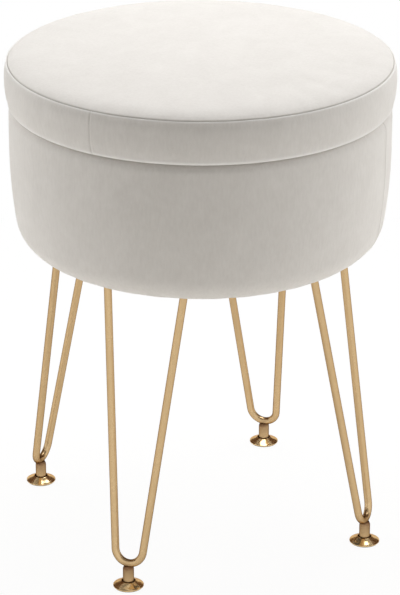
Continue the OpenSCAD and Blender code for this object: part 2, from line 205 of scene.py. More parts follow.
class Shape:
    """A mesh in the making, shaped with Blender's mesh operators."""

    def __init__(self) -> None:
        """Starts with nothing in the mesh."""
        self.mesh = bmesh.new()

    def turn(self, outline: Outline, steps: int, ring: bool = False) -> None:
        """Turns an outline of radii and heights about the upright axis.

        Args:
            outline: The points, from one end of the outline to the other.
            steps: Number of columns round the axis.
            ring: Whether the outline closes on itself.
        """
        verts = [self.mesh.verts.new((radius, 0.0, height)) for radius, height in outline]
        ends = zip(verts, verts[1:] + verts[:1] if ring else verts[1:])
        edges = [self.mesh.edges.new(pair) for pair in ends]
        bmesh.ops.spin(
            self.mesh, geom=verts + edges, cent=(0, 0, 0), axis=(0, 0, 1),
            angle=FULL_TURN, steps=steps, use_merge=True,
        )
        self.heal()

    def heal(self) -> None:
        """Merges points that lie together and turns the faces outwards."""
        bmesh.ops.remove_doubles(self.mesh, verts=self.mesh.verts, dist=1e-6)
        bmesh.ops.recalc_face_normals(self.mesh, faces=self.mesh.faces)

    def close(self) -> None:
        """Fills the open ends and turns the faces outwards."""
        bmesh.ops.holes_fill(self.mesh, edges=[e for e in self.mesh.edges if e.is_boundary])
        bmesh.ops.recalc_face_normals(self.mesh, faces=self.mesh.faces)

    def trim(self, height: float) -> None:
        """Cuts off what stands above a height and closes the cuts."""
        bmesh.ops.bisect_plane(
            self.mesh, geom=[*self.mesh.verts, *self.mesh.edges, *self.mesh.faces],
            plane_co=(0, 0, height), plane_no=(0, 0, 1), clear_outer=True,
        )
        self.close()

    def move(self, matrix: Matrix) -> None:
        """Moves the whole mesh by a matrix."""
        bmesh.ops.transform(self.mesh, matrix=matrix, verts=self.mesh.verts)

    def add(self, other: "Shape", matrix: Matrix) -> None:
        """Adds a copy of another shape, moved by a matrix.

        Args:
            other: The shape to copy.
            matrix: Where the copy goes.
        """
        carrier = bpy.data.meshes.new("copy")
        other.mesh.to_mesh(carrier)
        carrier.transform(matrix)
        self.mesh.from_mesh(carrier)
        bpy.data.meshes.remove(carrier)

    def store(self, data: bpy.types.Mesh) -> None:
        """Writes the mesh in an order that every run repeats, and ends the shape.

        Args:
            data: Where the mesh goes.
        """
        verts = self.mesh.verts
        order = sorted(verts, key=lambda v: tuple(round(c, 7) for c in v.co))
        ranks = {vert: rank for rank, vert in enumerate(order)}
        verts.sort(key=lambda v: ranks[v])
        verts.index_update()
        count = len(order)

        def place(part: bmesh.types.BMEdge | bmesh.types.BMFace) -> int:
            """Returns a number that grows with the part's first three points."""
            first, second, third = (sorted(v.index for v in part.verts) + [0])[:3]
            return (first * count + second) * count + third

        self.mesh.edges.sort(key=place)
        self.mesh.faces.sort(key=place)
        self.mesh.to_mesh(data)
        self.mesh.free()

    def cut_columns(self, near: Callable[[Vector], bool], angle: float, offsets: Iterable[float]) -> None:
        """Adds upright cuts beside a radial plane.

        Args:
            near: Tells whether a face's middle is to be cut.
            angle: Direction of the plane, in radians.
            offsets: Distances of the cuts from it, in metres.
        """
        across = Vector((-math.sin(angle), math.cos(angle), 0))
        for offset in offsets:
            faces = [f for f in self.mesh.faces if near(f.calc_center_median())]
            edges = dict.fromkeys(e for f in faces for e in f.edges)
            verts = dict.fromkeys(v for f in faces for v in f.verts)
            geom = [*verts, *edges, *faces]
            bmesh.ops.bisect_plane(self.mesh, geom=geom, dist=1e-6, plane_co=across * offset, plane_no=across)

    def piece(self, name: str, look: "Look", body: str, replaces: Sequence[str] = ()) -> bpy.types.Object:
        """Makes the finished object and lets it ride on its body.

        Args:
            name: Name of the piece.
            look: Material, slot and shading of the piece.
            body: CAD body that carries it.
            replaces: CAD nodes that it stands for.

        Returns:
            The new object, at the origin.
        """
        data = bpy.data.meshes.new(name)
        self.store(data)
        data.shade_smooth()
        data.set_sharp_from_angle(angle=math.radians(look.sharp_from))
        data.materials.append(look.material)
        piece = bpy.data.objects.new(name, data)
        bpy.context.scene.collection.objects.link(piece)
        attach(piece, body)
        if replaces:
            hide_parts(*replaces)
        LOG.info("%s rides on %s and has %d faces", name, body, len(data.polygons))
        return piece


@dataclass(frozen=True)
class Look:
    """A material with the record's slot that it belongs to."""

    material: bpy.types.Material
    slot: str
    sharp_from: float = 40.0


def subdivide(piece: bpy.types.Object, levels: int = 1) -> None:
    """Finishes a piece with a subdivision surface.

    Args:
        piece: The object.
        levels: Levels in view and in the render.
    """
    modifier = piece.modifiers.new("Subdivision", "SUBSURF")
    modifier.levels = levels
    modifier.render_levels = levels
    modifier.boundary_smooth = "PRESERVE_CORNERS"


class Value:
    """A shader socket that takes part in Python sums."""

    def __init__(self, recipe: "Recipe", socket: bpy.types.NodeSocket) -> None:
        """Keeps the socket and the recipe that it belongs to."""
        self.recipe = recipe
        self.socket = socket

    def _math(self, operation: str, *terms: Any) -> "Value":
        """Adds a Math node.

        Args:
            operation: The node's operation.
            terms: Its inputs, as values or numbers.

        Returns:
            The node's result.
        """
        node = self.recipe.node("ShaderNodeMath", {"operation": operation}, dict(enumerate(terms)))
        return Value(self.recipe, node.outputs[0])

    def __add__(self, other: Any) -> "Value":
        """Returns the sum."""
        return self._math("ADD", self, other)

    __radd__ = __add__

    def __sub__(self, other: Any) -> "Value":
        """Returns the difference."""
        return self._math("SUBTRACT", self, other)

    def __rsub__(self, other: Any) -> "Value":
        """Returns the reflected difference."""
        return self._math("SUBTRACT", other, self)

    def __mul__(self, other: Any) -> "Value":
        """Returns the product."""
        return self._math("MULTIPLY", self, other)

    __rmul__ = __mul__

    def sine(self) -> "Value":
        """Returns the sine."""
        return self._math("SINE", self)

    def size(self) -> "Value":
        """Returns the value without its sign."""
        return self._math("ABSOLUTE", self)

    def between(self, low: float, high: float, smooth: bool = True) -> "Value":
        """Maps low to 0 and high to 1, and stays within them.

        Args:
            low: Value that becomes 0.
            high: Value that becomes 1.
            smooth: Whether the way between them is smooth.

        Returns:
            The mapped value.
        """
        node = self.recipe.node(
            "ShaderNodeMapRange",
            {"interpolation_type": "SMOOTHSTEP" if smooth else "LINEAR", "clamp": True},
            {"Value": self, "From Min": low, "From Max": high},
        )
        return Value(self.recipe, node.outputs["Result"])


class Recipe:
    """The node tree of one material."""

    def __init__(self, name: str) -> None:
        """Starts an empty material of that name."""
        self.material = bpy.data.materials.new(name)
        self.material.use_nodes = True
        self.tree = self.material.node_tree
        self.tree.nodes.clear()

    def node(self, kind: str, settings: dict[str, Any], inputs: dict[Any, Any]) -> bpy.types.Node:
        """Adds a node of any kind.

        Args:
            kind: The node's type.
            settings: Its properties, and the stops of a ramp, set before the inputs.
            inputs: Values or links of its sockets, by name or number.

        Returns:
            The node.
        """
        node = self.tree.nodes.new(kind)
        for key, setting in settings.items():
            if key == "stops":
                self._set_stops(node, setting)
            else:
                setattr(node, key, setting)
        for key, given in inputs.items():
            if isinstance(given, Value):
                given = given.socket
            if isinstance(given, bpy.types.NodeSocket):
                self.tree.links.new(given, node.inputs[key])
            else:
                node.inputs[key].default_value = given
        return node

    @staticmethod
    def _set_stops(node: bpy.types.Node, stops: Sequence[tuple[float, Colour]]) -> None:
        """Sets the stops of a colour ramp.

        Args:
            node: The ramp.
            stops: Places and colours, in order.
        """
        ramp = node.color_ramp
        while len(ramp.elements) < len(stops):
            ramp.elements.new(1.0)
        for element, (place, colour) in zip(ramp.elements, stops):
            element.position = place
            element.color = (*colour, 1.0)

    def place(self, scale: Colour = (1.0, 1.0, 1.0)) -> bpy.types.NodeSocket:
        """Object coordinates, stretched along the axes.

        Args:
            scale: Factor along each axis.

        Returns:
            The stretched coordinates.
        """
        coordinates = self.node("ShaderNodeTexCoord", {}, {}).outputs["Object"]
        mapping = self.node("ShaderNodeMapping", {}, {"Vector": coordinates, "Scale": scale})
        return mapping.outputs["Vector"]

    def grain(self, place: bpy.types.NodeSocket, scale: float, detail: float = 2.0, **more: float) -> Value:
        """Noise about zero.

        Args:
            place: Coordinates to read it at.
            scale: Its scale, in waves per metre.
            detail: Number of finer layers.
            **more: Other inputs of the noise, by name.

        Returns:
            Values from about -0.5 to 0.5.
        """
        inputs = {"Vector": place, "Scale": scale, "Detail": detail, **more}
        node = self.node("ShaderNodeTexNoise", {}, inputs)
        return Value(self, node.outputs["Fac"]) - 0.5

    def across_and_along(self, place: bpy.types.NodeSocket) -> list[Value]:
        """Splits coordinates and keeps the first two."""
        parts = self.node("ShaderNodeSeparateXYZ", {}, {"Vector": place})
        return [Value(self, part) for part in parts.outputs[:2]]

    def painted(self, name: str) -> Value:
        """A number that the mesh carries at each point."""
        node = self.node("ShaderNodeAttribute", {"attribute_name": name}, {})
        return Value(self, node.outputs["Fac"])

    def blend(self, first: Any, second: Any, share: Any) -> bpy.types.NodeSocket:
        """Mixes two colours.

        Args:
            first: Colour where the share is 0.
            second: Colour where the share is 1.
            share: Number or value from 0 to 1.

        Returns:
            The mixed colour.
        """
        ends = [(*c, 1.0) if isinstance(c, tuple) else c for c in (first, second)]
        node = self.node(
            "ShaderNodeMix", {"data_type": "RGBA"}, {"Factor": share, 6: ends[0], 7: ends[1]}
        )
        return node.outputs[2]

    def seen(self, mirrored: float = 1.0) -> Value:
        """Tells whether a ray shows the stage to the camera, directly or through metal or glass.

        Args:
            mirrored: Result for a ray that shows it in metal.

        Returns:
            1 for such a ray and 0 for one that only carries light.
        """
        rays = self.node("ShaderNodeLightPath", {}, {}).outputs
        kinds = [Value(self, rays[f"Is {kind} Ray"]) for kind in ("Camera", "Glossy", "Transmission")]
        return (kinds[0] + kinds[1] * mirrored + kinds[2]).between(0.0, 1.0, False)

    def relief(self, height: Value, depth: float, strength: float = 1.0) -> bpy.types.NodeSocket:
        """Turns heights into a bumped normal.

        Args:
            height: Heights, as shares of the depth.
            depth: Depth in metres.
            strength: Strength of the effect.

        Returns:
            The normal.
        """
        inputs = {"Height": height, "Distance": depth, "Strength": strength}
        return self.node("ShaderNodeBump", {}, inputs).outputs["Normal"]

    def done(self, settings: dict[str, Any]) -> bpy.types.Material:
        """Ends the recipe in one Principled shader.

        Args:
            settings: The shader's inputs by name.

        Returns:
            The finished material.
        """
        shader = self.node("ShaderNodeBsdfPrincipled", {}, settings)
        self.end(shader.outputs["BSDF"])
        return self.material

    def end(self, surface: bpy.types.NodeSocket) -> None:
        """Links a shader to the material's surface."""
        self.node("ShaderNodeOutputMaterial", {}, {"Surface": surface})


class Sky(Recipe):
    """The node tree of the world."""

    def __init__(self, name: str) -> None:
        """Starts an empty world of that name."""
        self.world = bpy.data.worlds.new(name)
        self.world.use_nodes = True
        self.tree = self.world.node_tree
        self.tree.nodes.clear()

    def end(self, surface: bpy.types.NodeSocket) -> None:
        """Links a shader to the world's surface."""
        self.node("ShaderNodeOutputWorld", {}, {"Surface": surface})


@dataclass(frozen=True)
class Velvet:
    """Off-white cut velvet: a soft pile that is lighter where it is seen from the side."""

    shade: Colour = (0.765, 0.737, 0.702)
    light: Colour = (0.885, 0.860, 0.826)
    # Colour of the painted shade in the seam grooves.
    crease: Colour = (0.42, 0.395, 0.36)
    # Colour of the painted highlight on the seam's lip and the lid's lower roll.
    painted_highlight: Colour = (0.97, 0.955, 0.935)
    pile_scale: float = 2400.0
    pile_depth: float = 0.00016
    crush_scale: float = 34.0

    def build(self) -> bpy.types.Material:
        """Returns the material, with pile, crushed patches, painted shade in the creases and a painted
        highlight on the seam's lip and the lid's lower roll.
        """
        recipe = Recipe("off_white_velvet")
        place = recipe.place()
        broad = recipe.grain(place, 7.0, 1.0)
        crushed = recipe.grain(place, self.crush_scale, 3.0, Distortion=0.8)
        nap = recipe.grain(recipe.place((1.0, 1.0, 0.3)), 420.0, 2.0)
        pile = recipe.grain(place, self.pile_scale, 1.0)
        tone = 0.5 + broad * 0.35 + crushed * 0.7 + nap * 0.8 + pile * 0.5
        crease = recipe.painted("crease")
        colour = recipe.blend(self.shade, self.light, tone.between(0.0, 1.0, False))
        # Painted highlight: lightens the seam's lip and the lid's lower roll.
        colour = recipe.blend(colour, self.painted_highlight, recipe.painted("painted_highlight"))
        # Painted shade: darkens the seam grooves towards the crease colour.
        colour = recipe.blend(colour, self.crease, crease * 0.65)
        rough = 0.84 + crushed * 0.12 + nap * 0.06
        wrinkle = recipe.grain(place, 210.0, 1.0, Distortion=0.4) * recipe.painted("pucker")
        height = pile * 0.8 + nap * 0.9 + crushed * 0.5 + wrinkle * 2.6
        return recipe.done(
            {
                "Base Color": colour,
                "Roughness": rough,
                "Specular IOR Level": 0.18,
                "Sheen Weight": 0.40,
                "Sheen Roughness": 0.40,
                "Sheen Tint": (1.0, 0.99, 0.965, 1.0),
                "Normal": recipe.relief(height, self.pile_depth, 0.7),
            }
        )


@dataclass(frozen=True)
class SatinGold:
    """Electroplated steel rod with a fine drawn grain and browner weld marks, which on the barrel's top are
    also painted shade under the hairpin bend.
    """

    colour: Colour = (0.91, 0.72, 0.445)
    worn: Colour = (0.785, 0.595, 0.33)
    heat_tint_and_shade_colour: Colour = (0.17, 0.062, 0.028)
    edge: Colour = (0.25, 0.17, 0.11)
    lacquer: Colour = (0.77, 0.71, 0.65)
    roughness: float = 0.29

    def build(self) -> bpy.types.Material:
        """Returns the material of rods, barrels and plates."""
        recipe = Recipe("satin_gold")
        drawn = recipe.grain(recipe.place((1.0, 1.0, 0.02)), 2600.0, 2.0)
        cloudy = recipe.grain(recipe.place(), 60.0, 3.0)
        pits = recipe.grain(recipe.place(), 1500.0, 2.0)
        wear = 0.3 + drawn * 0.7 + cloudy * 0.6
        colour = recipe.blend(self.colour, self.worn, wear.between(0.0, 1.0, False))
        # Weld heat tint, and on the barrel also painted shade under the hairpin bend.
        heat_tint_and_shade = recipe.painted("heat_tint_and_shade")
        colour = recipe.blend(colour, self.heat_tint_and_shade_colour, heat_tint_and_shade * (0.85 + cloudy))
        rough = self.roughness + drawn * 0.10 + cloudy * 0.10 + heat_tint_and_shade * 0.12
        return recipe.done(
            {
                "Base Color": colour,
                "Metallic": 1.0,
                "Specular Tint": (*self.edge, 1.0),
                "Coat Weight": 1.0,
                "Coat Roughness": 0.25,
                "Coat IOR": 1.03,
                "Coat Tint": (*self.lacquer, 1.0),
                "Roughness": rough,
                "Normal": recipe.relief(drawn * 0.6 + pits * 0.5, 0.00003, 0.5),
            }
        )


@dataclass(frozen=True)
class TurnedBrass:
    """Polished turned metal of the levelling feet, with fine lathe rings and painted shade in the recess
    round the barrel.
    """

    colour: Colour = (0.98, 0.76, 0.44)
    deep: Colour = (0.82, 0.55, 0.28)
    edge: Colour = (0.62, 0.45, 0.32)
    # Colour of the painted shade in the recess round the barrel.
    recess_shade: Colour = (0.10, 0.038, 0.018)
    roughness: float = 0.18

    def build(self) -> bpy.types.Material:
        """Returns the material of the cones."""
        recipe = Recipe("turned_brass")
        rings = recipe.grain(recipe.place((0.05, 0.05, 1.0)), 6000.0, 1.0)
        cloudy = recipe.grain(recipe.place(), 140.0, 2.0)
        colour = recipe.blend(self.colour, self.deep, (0.35 + cloudy * 0.9).between(0.0, 1.0, False))
        # Painted shade: darkens the recess round the barrel.
        colour = recipe.blend(colour, self.recess_shade, recipe.painted("recess"))
        return recipe.done(
            {
                "Base Color": colour,
                "Metallic": 1.0,
                "Specular Tint": (*self.edge, 1.0),
                "Roughness": self.roughness + cloudy * 0.08 + rings * 0.05,
                "Anisotropic": 0.65,
                "Normal": recipe.relief(rings, 0.00001, 0.3),
            }
        )


@dataclass(frozen=True)
class WovenCloth:
    """Plain woven lining: two sets of threads that pass over each other."""

    name: str = "woven_lining"
    thread: Colour = (0.085, 0.084, 0.087)
    gap: Colour = (0.035, 0.034, 0.036)
    pitch: float = 0.0011

    def build(self) -> bpy.types.Material:
        """Returns the material, woven along the piece's own map."""
        recipe = Recipe(self.name)
        where = recipe.node("ShaderNodeUVMap", {"uv_map": "weave"}, {}).outputs["UV"]
        across, along = (part * (math.pi / self.pitch) for part in recipe.across_and_along(where))
        warp = across.sine().size()
        weft = along.sine().size()
        over = (across.sine() * along.sine()).between(-0.2, 0.2)
        height = over * warp + (1 - over) * weft
        slub = recipe.grain(recipe.place(), 300.0, 2.0)
        colour = recipe.blend(self.gap, self.thread, (height * 0.9 + slub * 0.7).between(0.1, 1.0))
        return recipe.done(
            {
                "Base Color": colour,
                "Roughness": 0.86 + slub * 0.1,
                "Specular IOR Level": 0.25,
                "Sheen Weight": 0.15,
                "Normal": recipe.relief(height, 0.00012, 0.6),
            }
        )


@dataclass(frozen=True)
class SpunCloth:
    """Thin spun-bonded dust cloth: pressed fibres with a grid of bonded dimples."""

    fibre: Colour = (0.060, 0.060, 0.062)
    dimple: Colour = (0.028, 0.028, 0.030)
    pitch: float = 0.0016

    def build(self) -> bpy.types.Material:
        """Returns the material of the dust cloth."""
        recipe = Recipe("spun_dust_cloth")
        parts = recipe.across_and_along(recipe.place())
        wave_x, wave_y = ((part * (FULL_TURN / self.pitch)).sine() for part in parts)
        dots = (wave_x * wave_y).between(0.35, 0.75)
        fibres = recipe.grain(recipe.place((1.0, 1.0, 0.2)), 1700.0, 3.0, Distortion=1.5)
        colour = recipe.blend(self.fibre, self.dimple, (dots * 0.7 + fibres * 0.8).between(0.0, 1.0))
        return recipe.done(
            {
                "Base Color": colour,
                "Roughness": 0.72 + fibres * 0.2,
                "Normal": recipe.relief(fibres - dots, 0.0001, 0.6),
            }
        )


@dataclass(frozen=True)
class Plain:
    """A material of one colour with a fine grain: board, zinc, foam or rubber."""

    name: str
    colour: Colour
    second: Colour
    roughness: float
    metallic: float = 0.0
    scale: float = 500.0
    stretch: Colour = (1.0, 1.0, 1.0)
    depth: float = 0.00006

    def build(self) -> bpy.types.Material:
        """Returns the material."""
        recipe = Recipe(self.name)
        fine = recipe.grain(recipe.place(self.stretch), self.scale, 3.0)
        broad = recipe.grain(recipe.place(self.stretch), self.scale / 12, 2.0)
        colour = recipe.blend(
            self.colour, self.second, (0.5 + fine * 0.9 + broad * 0.9).between(0.0, 1.0, False)
        )
        return recipe.done(
            {
                "Base Color": colour,
                "Metallic": self.metallic,
                "Roughness": self.roughness + fine * 0.12,
                "Normal": recipe.relief(fine, self.depth, 0.5),
            }
        )


@dataclass
class Finishes:
    """Every look on the ottoman, made once."""

    velvet: Look = field(init=False)
    gold: Look = field(init=False)
    brass: Look = field(init=False)
    lining: Look = field(init=False)
    dust_cloth: Look = field(init=False)
    board: Look = field(init=False)
    foam: Look = field(init=False)
    zinc: Look = field(init=False)
    pad: Look = field(init=False)

    def __post_init__(self) -> None:
        """Builds the materials."""
        self.velvet = Look(Velvet().build(), "velvet", 180.0)
        self.gold = Look(SatinGold().build(), "gold")
        self.brass = Look(TurnedBrass().build(), "brass", 30.0)
        self.lining = Look(WovenCloth().build(), "lining", 180.0)
        self.dust_cloth = Look(SpunCloth().build(), "dust_cloth", 180.0)
        board = Plain("fibre_board", (0.42, 0.29, 0.17), (0.30, 0.20, 0.115), 0.7, scale=420.0)
        foam = Plain("cut_foam", (0.80, 0.74, 0.55), (0.70, 0.63, 0.45), 0.9, scale=900.0)
        zinc = Plain(
            "zinc_plate", (0.62, 0.63, 0.64), (0.48, 0.50, 0.52), 0.38, 1.0, 700.0, depth=0.00001
        )
        pad = Plain("dark_rubber", (0.030, 0.029, 0.028), (0.018, 0.017, 0.017), 0.62, scale=1400.0)
        self.board = Look(board.build(), "board")
        self.foam = Look(foam.build(), "foam")
        self.zinc = Look(zinc.build(), "zinc")
        self.pad = Look(pad.build(), "pad")

    def dress_nodes(self) -> None:
        """Gives every CAD node the look of its slot."""
        looks = {look.slot: look for look in vars(self).values()}
        for name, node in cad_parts.items():
            slot = node.material_slots[0].material.name
            node.data.materials.clear()
            node.data.materials.append(looks[slot].material)
            LOG.info("CAD node %s has the look %s", name, slot)


def paint(piece: bpy.types.Object, name: str, amount: Callable[[Vector], float]) -> None:
    """Stores a number at each point of a mesh.

    Args:
        piece: The object.
        name: Name of the attribute.
        amount: Gives the number for a point.
    """
    layer = piece.data.attributes.new(name, "FLOAT", "POINT")
    layer.data.foreach_set("value", [amount(v.co) for v in piece.data.vertices])


@dataclass
class Swelling:
    """A padded cover that Blender's cloth presses outwards from its foam."""

    inset: float = 2.5 * MM
    cap: float = 5 * MM
    frames: int = 20
    pressure: float = 4.0
    slack: float = 0.006
    keep: float = 0.35

    def run(self, piece: bpy.types.Object, held: Callable[[Vector], float]) -> None:
        """Simulates the cover and keeps its unevenness on the designed form.

        Args:
            piece: The cover, in its designed form.
            held: How firmly a point is held, from 0 to 1.
        """
        verts = piece.data.vertices
        designed = [v.co.copy() for v in verts]
        normals = [v.normal.copy() for v in verts]
        grip = [held(co) for co in designed]
        for vert, normal, hold in zip(verts, normals, grip):
            vert.co -= normal * self.inset * (1 - hold)
        started = [v.co.copy() for v in verts]
        pushed = self._simulate(piece, grip)
        outward = [
            max(-self.cap, min(self.cap, (there - here).dot(normal)))
            for here, there, normal in zip(started, pushed, normals)
        ]
        for vert, form, normal, hold, rise in zip(
            verts, designed, normals, grip, self._uneven(designed, outward)
        ):
            vert.co = form + normal * rise * self.keep * (1 - hold)
        piece.data.update()

    def _simulate(self, piece: bpy.types.Object, grip: list[float]) -> list[Vector]:
        """Runs the cloth and takes it off again.

        Args:
            piece: The cover, drawn in a little.
            grip: How firmly each point is held.

        Returns:
            Where each point is at the last frame.
        """
        group = piece.vertex_groups.new(name="held")
        for index, hold in enumerate(grip):
            group.add([index], hold, "REPLACE")
        cloth = piece.modifiers.new("Cloth", "CLOTH")
        cloth.settings.quality = 6
        cloth.settings.mass = 0.25
        cloth.settings.tension_stiffness = 25
        cloth.settings.compression_stiffness = 10
        cloth.settings.shear_stiffness = 10
        cloth.settings.bending_stiffness = 1.5
        cloth.settings.shrink_min = -self.slack
        cloth.settings.use_pressure = True
        cloth.settings.uniform_pressure_force = self.pressure
        cloth.settings.vertex_group_mass = group.name
        cloth.settings.effector_weights.gravity = 0
        cloth.collision_settings.use_collision = False
        cloth.point_cache.frame_start = 1
        cloth.point_cache.frame_end = self.frames
        scene = bpy.context.scene
        for step in range(1, self.frames + 1):
            scene.frame_set(step)
        evaluated = piece.evaluated_get(bpy.context.evaluated_depsgraph_get())
        pushed = [v.co.copy() for v in evaluated.data.vertices]
        piece.modifiers.remove(cloth)
        piece.vertex_groups.remove(group)
        scene.frame_set(1)
        return pushed

    @staticmethod
    def _uneven(designed: list[Vector], outward: list[float]) -> list[float]:
        """Takes the mean of each ring off the swelling, so that the form keeps its size.

        Args:
            designed: Points of the designed form.
            outward: How far each one moved outwards.

        Returns:
            What is left of each movement.
        """
        rings: dict[tuple[int, int], list[float]] = {}
        keys = [(round(Vector((p.x, p.y)).length / (4 * MM)), round(p.z / (4 * MM))) for p in designed]
        for key, rise in zip(keys, outward):
            rings.setdefault(key, []).append(rise)
        means = {key: sum(ring) / len(ring) for key, ring in rings.items()}
        return [rise - means[key] for key, rise in zip(keys, outward)]


@dataclass
class Lid:
    """The lift-off lid: a sewn velvet cushion on a board, with a lined disc under it."""

    levels: Levels
    looks: Finishes
    columns: int = 192
    middle_r: float = 0.082
    even_r: float = 0.152
    seam_inset: float = 3.0 * MM
    foot_inset: float = 4.5 * MM
    widest_share: float = 0.692
    upper_power: float = 2.3
    lower_power: float = 2.8
    roll_r: float = 2.5 * MM
    roll_lean: float = 20.0
    shoulder_share: float = 0.7
    shoulder_w: float = 9.0 * MM
    seam_angle: float = math.radians(-100)
    hem_gap: float = 3 * MM
    crease_depth: float = 1.5 * MM
    lip_drop: float = 0.35 * MM
    flare: float = 0.55 * MM
    panel_gaps: tuple[float, ...] = (15.0, 12.0, 9.5, 7.5, 6.0, 4.6, 3.4, 2.4, 1.5, 0.8, 0.3)
    seam_cuts: tuple[float, ...] = (-5.5, -2.6, -1.5, -0.7, 0, 0.7, 1.5, 2.6, 3.4, 4.2, 5.5)

    @property
    def seam_r(self) -> float:
        """Radius of the seam round the top panel."""
        return self.levels.lid_r - self.seam_inset

    @property
    def widest_z(self) -> float:
        """Height at which the lid is widest."""
        return mix(self.levels.lid_low, self.levels.seam_z, self.widest_share)

    def crown_z(self, radius: float) -> float:
        """Height of the top panel: a slow dome with a round shoulder at the seam."""
        share = min(1.0, radius / self.seam_r)
        rise = self.levels.crown_top - self.levels.seam_z
        shoulder = rise * self.shoulder_share * (1 - math.exp(-(self.seam_r - radius) / self.shoulder_w))
        return self.levels.seam_z + rise * (1 - self.shoulder_share) * (1 - share**2) + shoulder

    def band_r(self, height: float) -> float:
        """Radius of the lid's side at a height."""
        if height < self.widest_z:
            share = (self.widest_z - height) / (self.widest_z - self.levels.lid_low)
            return self.levels.lid_r - self.foot_inset * share**self.lower_power
        share = (height - self.widest_z) / (self.levels.seam_z - self.widest_z)
        return self.levels.lid_r - self.seam_inset * share**self.upper_power

    def crease(self) -> Outline:
        """Outline of the groove at the seam and of the soft lip below it."""
        radius = self.seam_r
        height = self.levels.seam_z
        deep = height - self.crease_depth
        lip = height - self.lip_drop
        return [
            (radius - 0.75 * MM, height + 0.35 * MM),
            (radius - 0.55 * MM, height - 0.3 * MM),
            (radius - 0.45 * MM, deep),
            (radius - 0.20 * MM, deep),
            (radius + 0.05 * MM, lip - 0.3 * MM),
            (radius + 0.45 * MM, lip),
            (radius + 1.00 * MM, lip - 0.25 * MM),
            (radius + 1.40 * MM, height - 1.2 * MM),
            (radius + 1.50 * MM, height - 2.0 * MM),
        ]

    def side(self) -> Outline:
        """Outline from the seam's crease down the side, round the roll and under the board."""
        levels = self.levels
        roll_top = levels.lid_low + self.roll_r * (1 - math.sin(math.radians(self.roll_lean)))
        roll_c = (
            self.band_r(roll_top) - self.roll_r * math.cos(math.radians(self.roll_lean)),
            levels.lid_low + self.roll_r,
        )
        start = levels.seam_z - 3.0 * MM
        heights = [mix(start, roll_top + 6 * MM, i / 11) for i in range(12)]
        heights += [roll_top + rise * MM for rise in (4.6, 3.6, 2.7, 1.9, 1.2, 0.6)]
        flares = [self.flare * hump(z - roll_top - 1.2 * MM, 1.6 * MM) for z in heights]
        hem_r = levels.disc_r + self.hem_gap
        return joined(
            self.crease(),
            [(self.band_r(z) + flare, z) for z, flare in zip(heights, flares)],
            arc(roll_c, self.roll_r, -self.roll_lean, -90, 4),
            line((roll_c[0] - 2 * MM, levels.lid_low), (hem_r, levels.lid_low), 5),
            [(hem_r, levels.board_low), (levels.board_r, levels.board_low)],
            [(levels.board_r, levels.board_high), (0.6 * levels.board_r, levels.board_high)],
        )

    def cushion(self) -> bpy.types.Object:
        """Builds the velvet cushion as one closed form.

        Returns:
            The cushion, which stands for panel, band and foam.
        """
        shape = Shape()
        rim = self._lay_middle(shape)
        inner = {self._column(v.co): v.co.xy.length for e in rim for v in e.verts}
        rings = 11
        for ring in range(1, rings + 1):
            share = ring / rings
            rim = self._grow(shape, rim, lambda c: mix(inner[c], self.even_r, share), self.crown_z)
        for gap in self.panel_gaps:
            radius = self.seam_r - gap * MM - 0.75 * MM
            rim = self._grow(shape, rim, lambda c: radius, self.crown_z)
        for radius, height in self.side():
            rim = self._grow(shape, rim, lambda c: radius, lambda r: height)
        bmesh.ops.contextual_create(shape.mesh, geom=rim)
        bmesh.ops.recalc_face_normals(shape.mesh, faces=shape.mesh.faces)
        piece = shape.piece(
            "lid_cushion", self.looks.velvet, Body.LID.value, ["lid_top_panel", "lid_band", "lid_foam"]
        )
        Swelling().run(piece, self._held)
        self._sew(piece)
        subdivide(piece)
        return piece

    def _lay_middle(self, shape: Shape) -> list[bmesh.types.BMEdge]:
        """Lays the middle of the panel as a grid with a rounded rim.

        Args:
            shape: The shape to add it to.

        Returns:
            The edges of its rim.
        """
        quarter = self.columns // 4
        made = bmesh.ops.create_grid(shape.mesh, x_segments=quarter, y_segments=quarter, size=1.0)
        for vert in made["verts"]:
            turn_x, turn_y = (math.pi / 4 * c for c in vert.co.xy)
            square = Vector((math.tan(turn_x), math.tan(turn_y))) * 0.86
            sin_x, sin_y = (math.sqrt(2) * math.sin(t) for t in (turn_x, turn_y))
            disc = Vector((sin_x * math.sqrt(1 - sin_y**2 / 2), sin_y * math.sqrt(1 - sin_x**2 / 2)))
            flat = square.lerp(disc, 0.6) * self.middle_r
            vert.co = (flat.x, flat.y, self.crown_z(flat.length))
        return [e for e in shape.mesh.edges if e.is_boundary]

    def _column(self, co: Vector) -> int:
        """Returns the number of the column that a point lies on."""
        return round(math.atan2(co.y, co.x) * self.columns / FULL_TURN) % self.columns

    def _grow(
        self,
        shape: Shape,
        rim: list[bmesh.types.BMEdge],
        radius: Callable[[int], float],
        height: Callable[[float], float],
    ) -> list[bmesh.types.BMEdge]:
        """Extrudes the rim into the next ring.

        Args:
            shape: The shape in the making.
            rim: Edges of the last ring.
            radius: Gives the new radius for a point's column.
            height: Gives the new height for a radius.

        Returns:
            The edges of the new ring.
        """
        made = bmesh.ops.extrude_edge_only(shape.mesh, edges=rim)["geom"]
        for vert in (g for g in made if isinstance(g, bmesh.types.BMVert)):
            column = self._column(vert.co)
            angle = FULL_TURN * column / self.columns
            r = radius(column)
            vert.co = (r * math.cos(angle), r * math.sin(angle), height(r))
        return [g for g in made if isinstance(g, bmesh.types.BMEdge)]

    def _held(self, co: Vector) -> float:
        """How firmly the cover is held at a point: at the seam and under the board."""
        radius = co.xy.length
        seam = hump(math.hypot(radius - self.seam_r, co.z - self.levels.seam_z), 3.5 * MM)
        under = 1 - ease(co.z, self.levels.lid_low + 2 * MM, self.levels.lid_low + 9 * MM)
        if radius < self.levels.board_r + MM and co.z <= self.levels.board_high + MM:
            return 1.0
        return min(1.0, max(seam * 1.4, under))

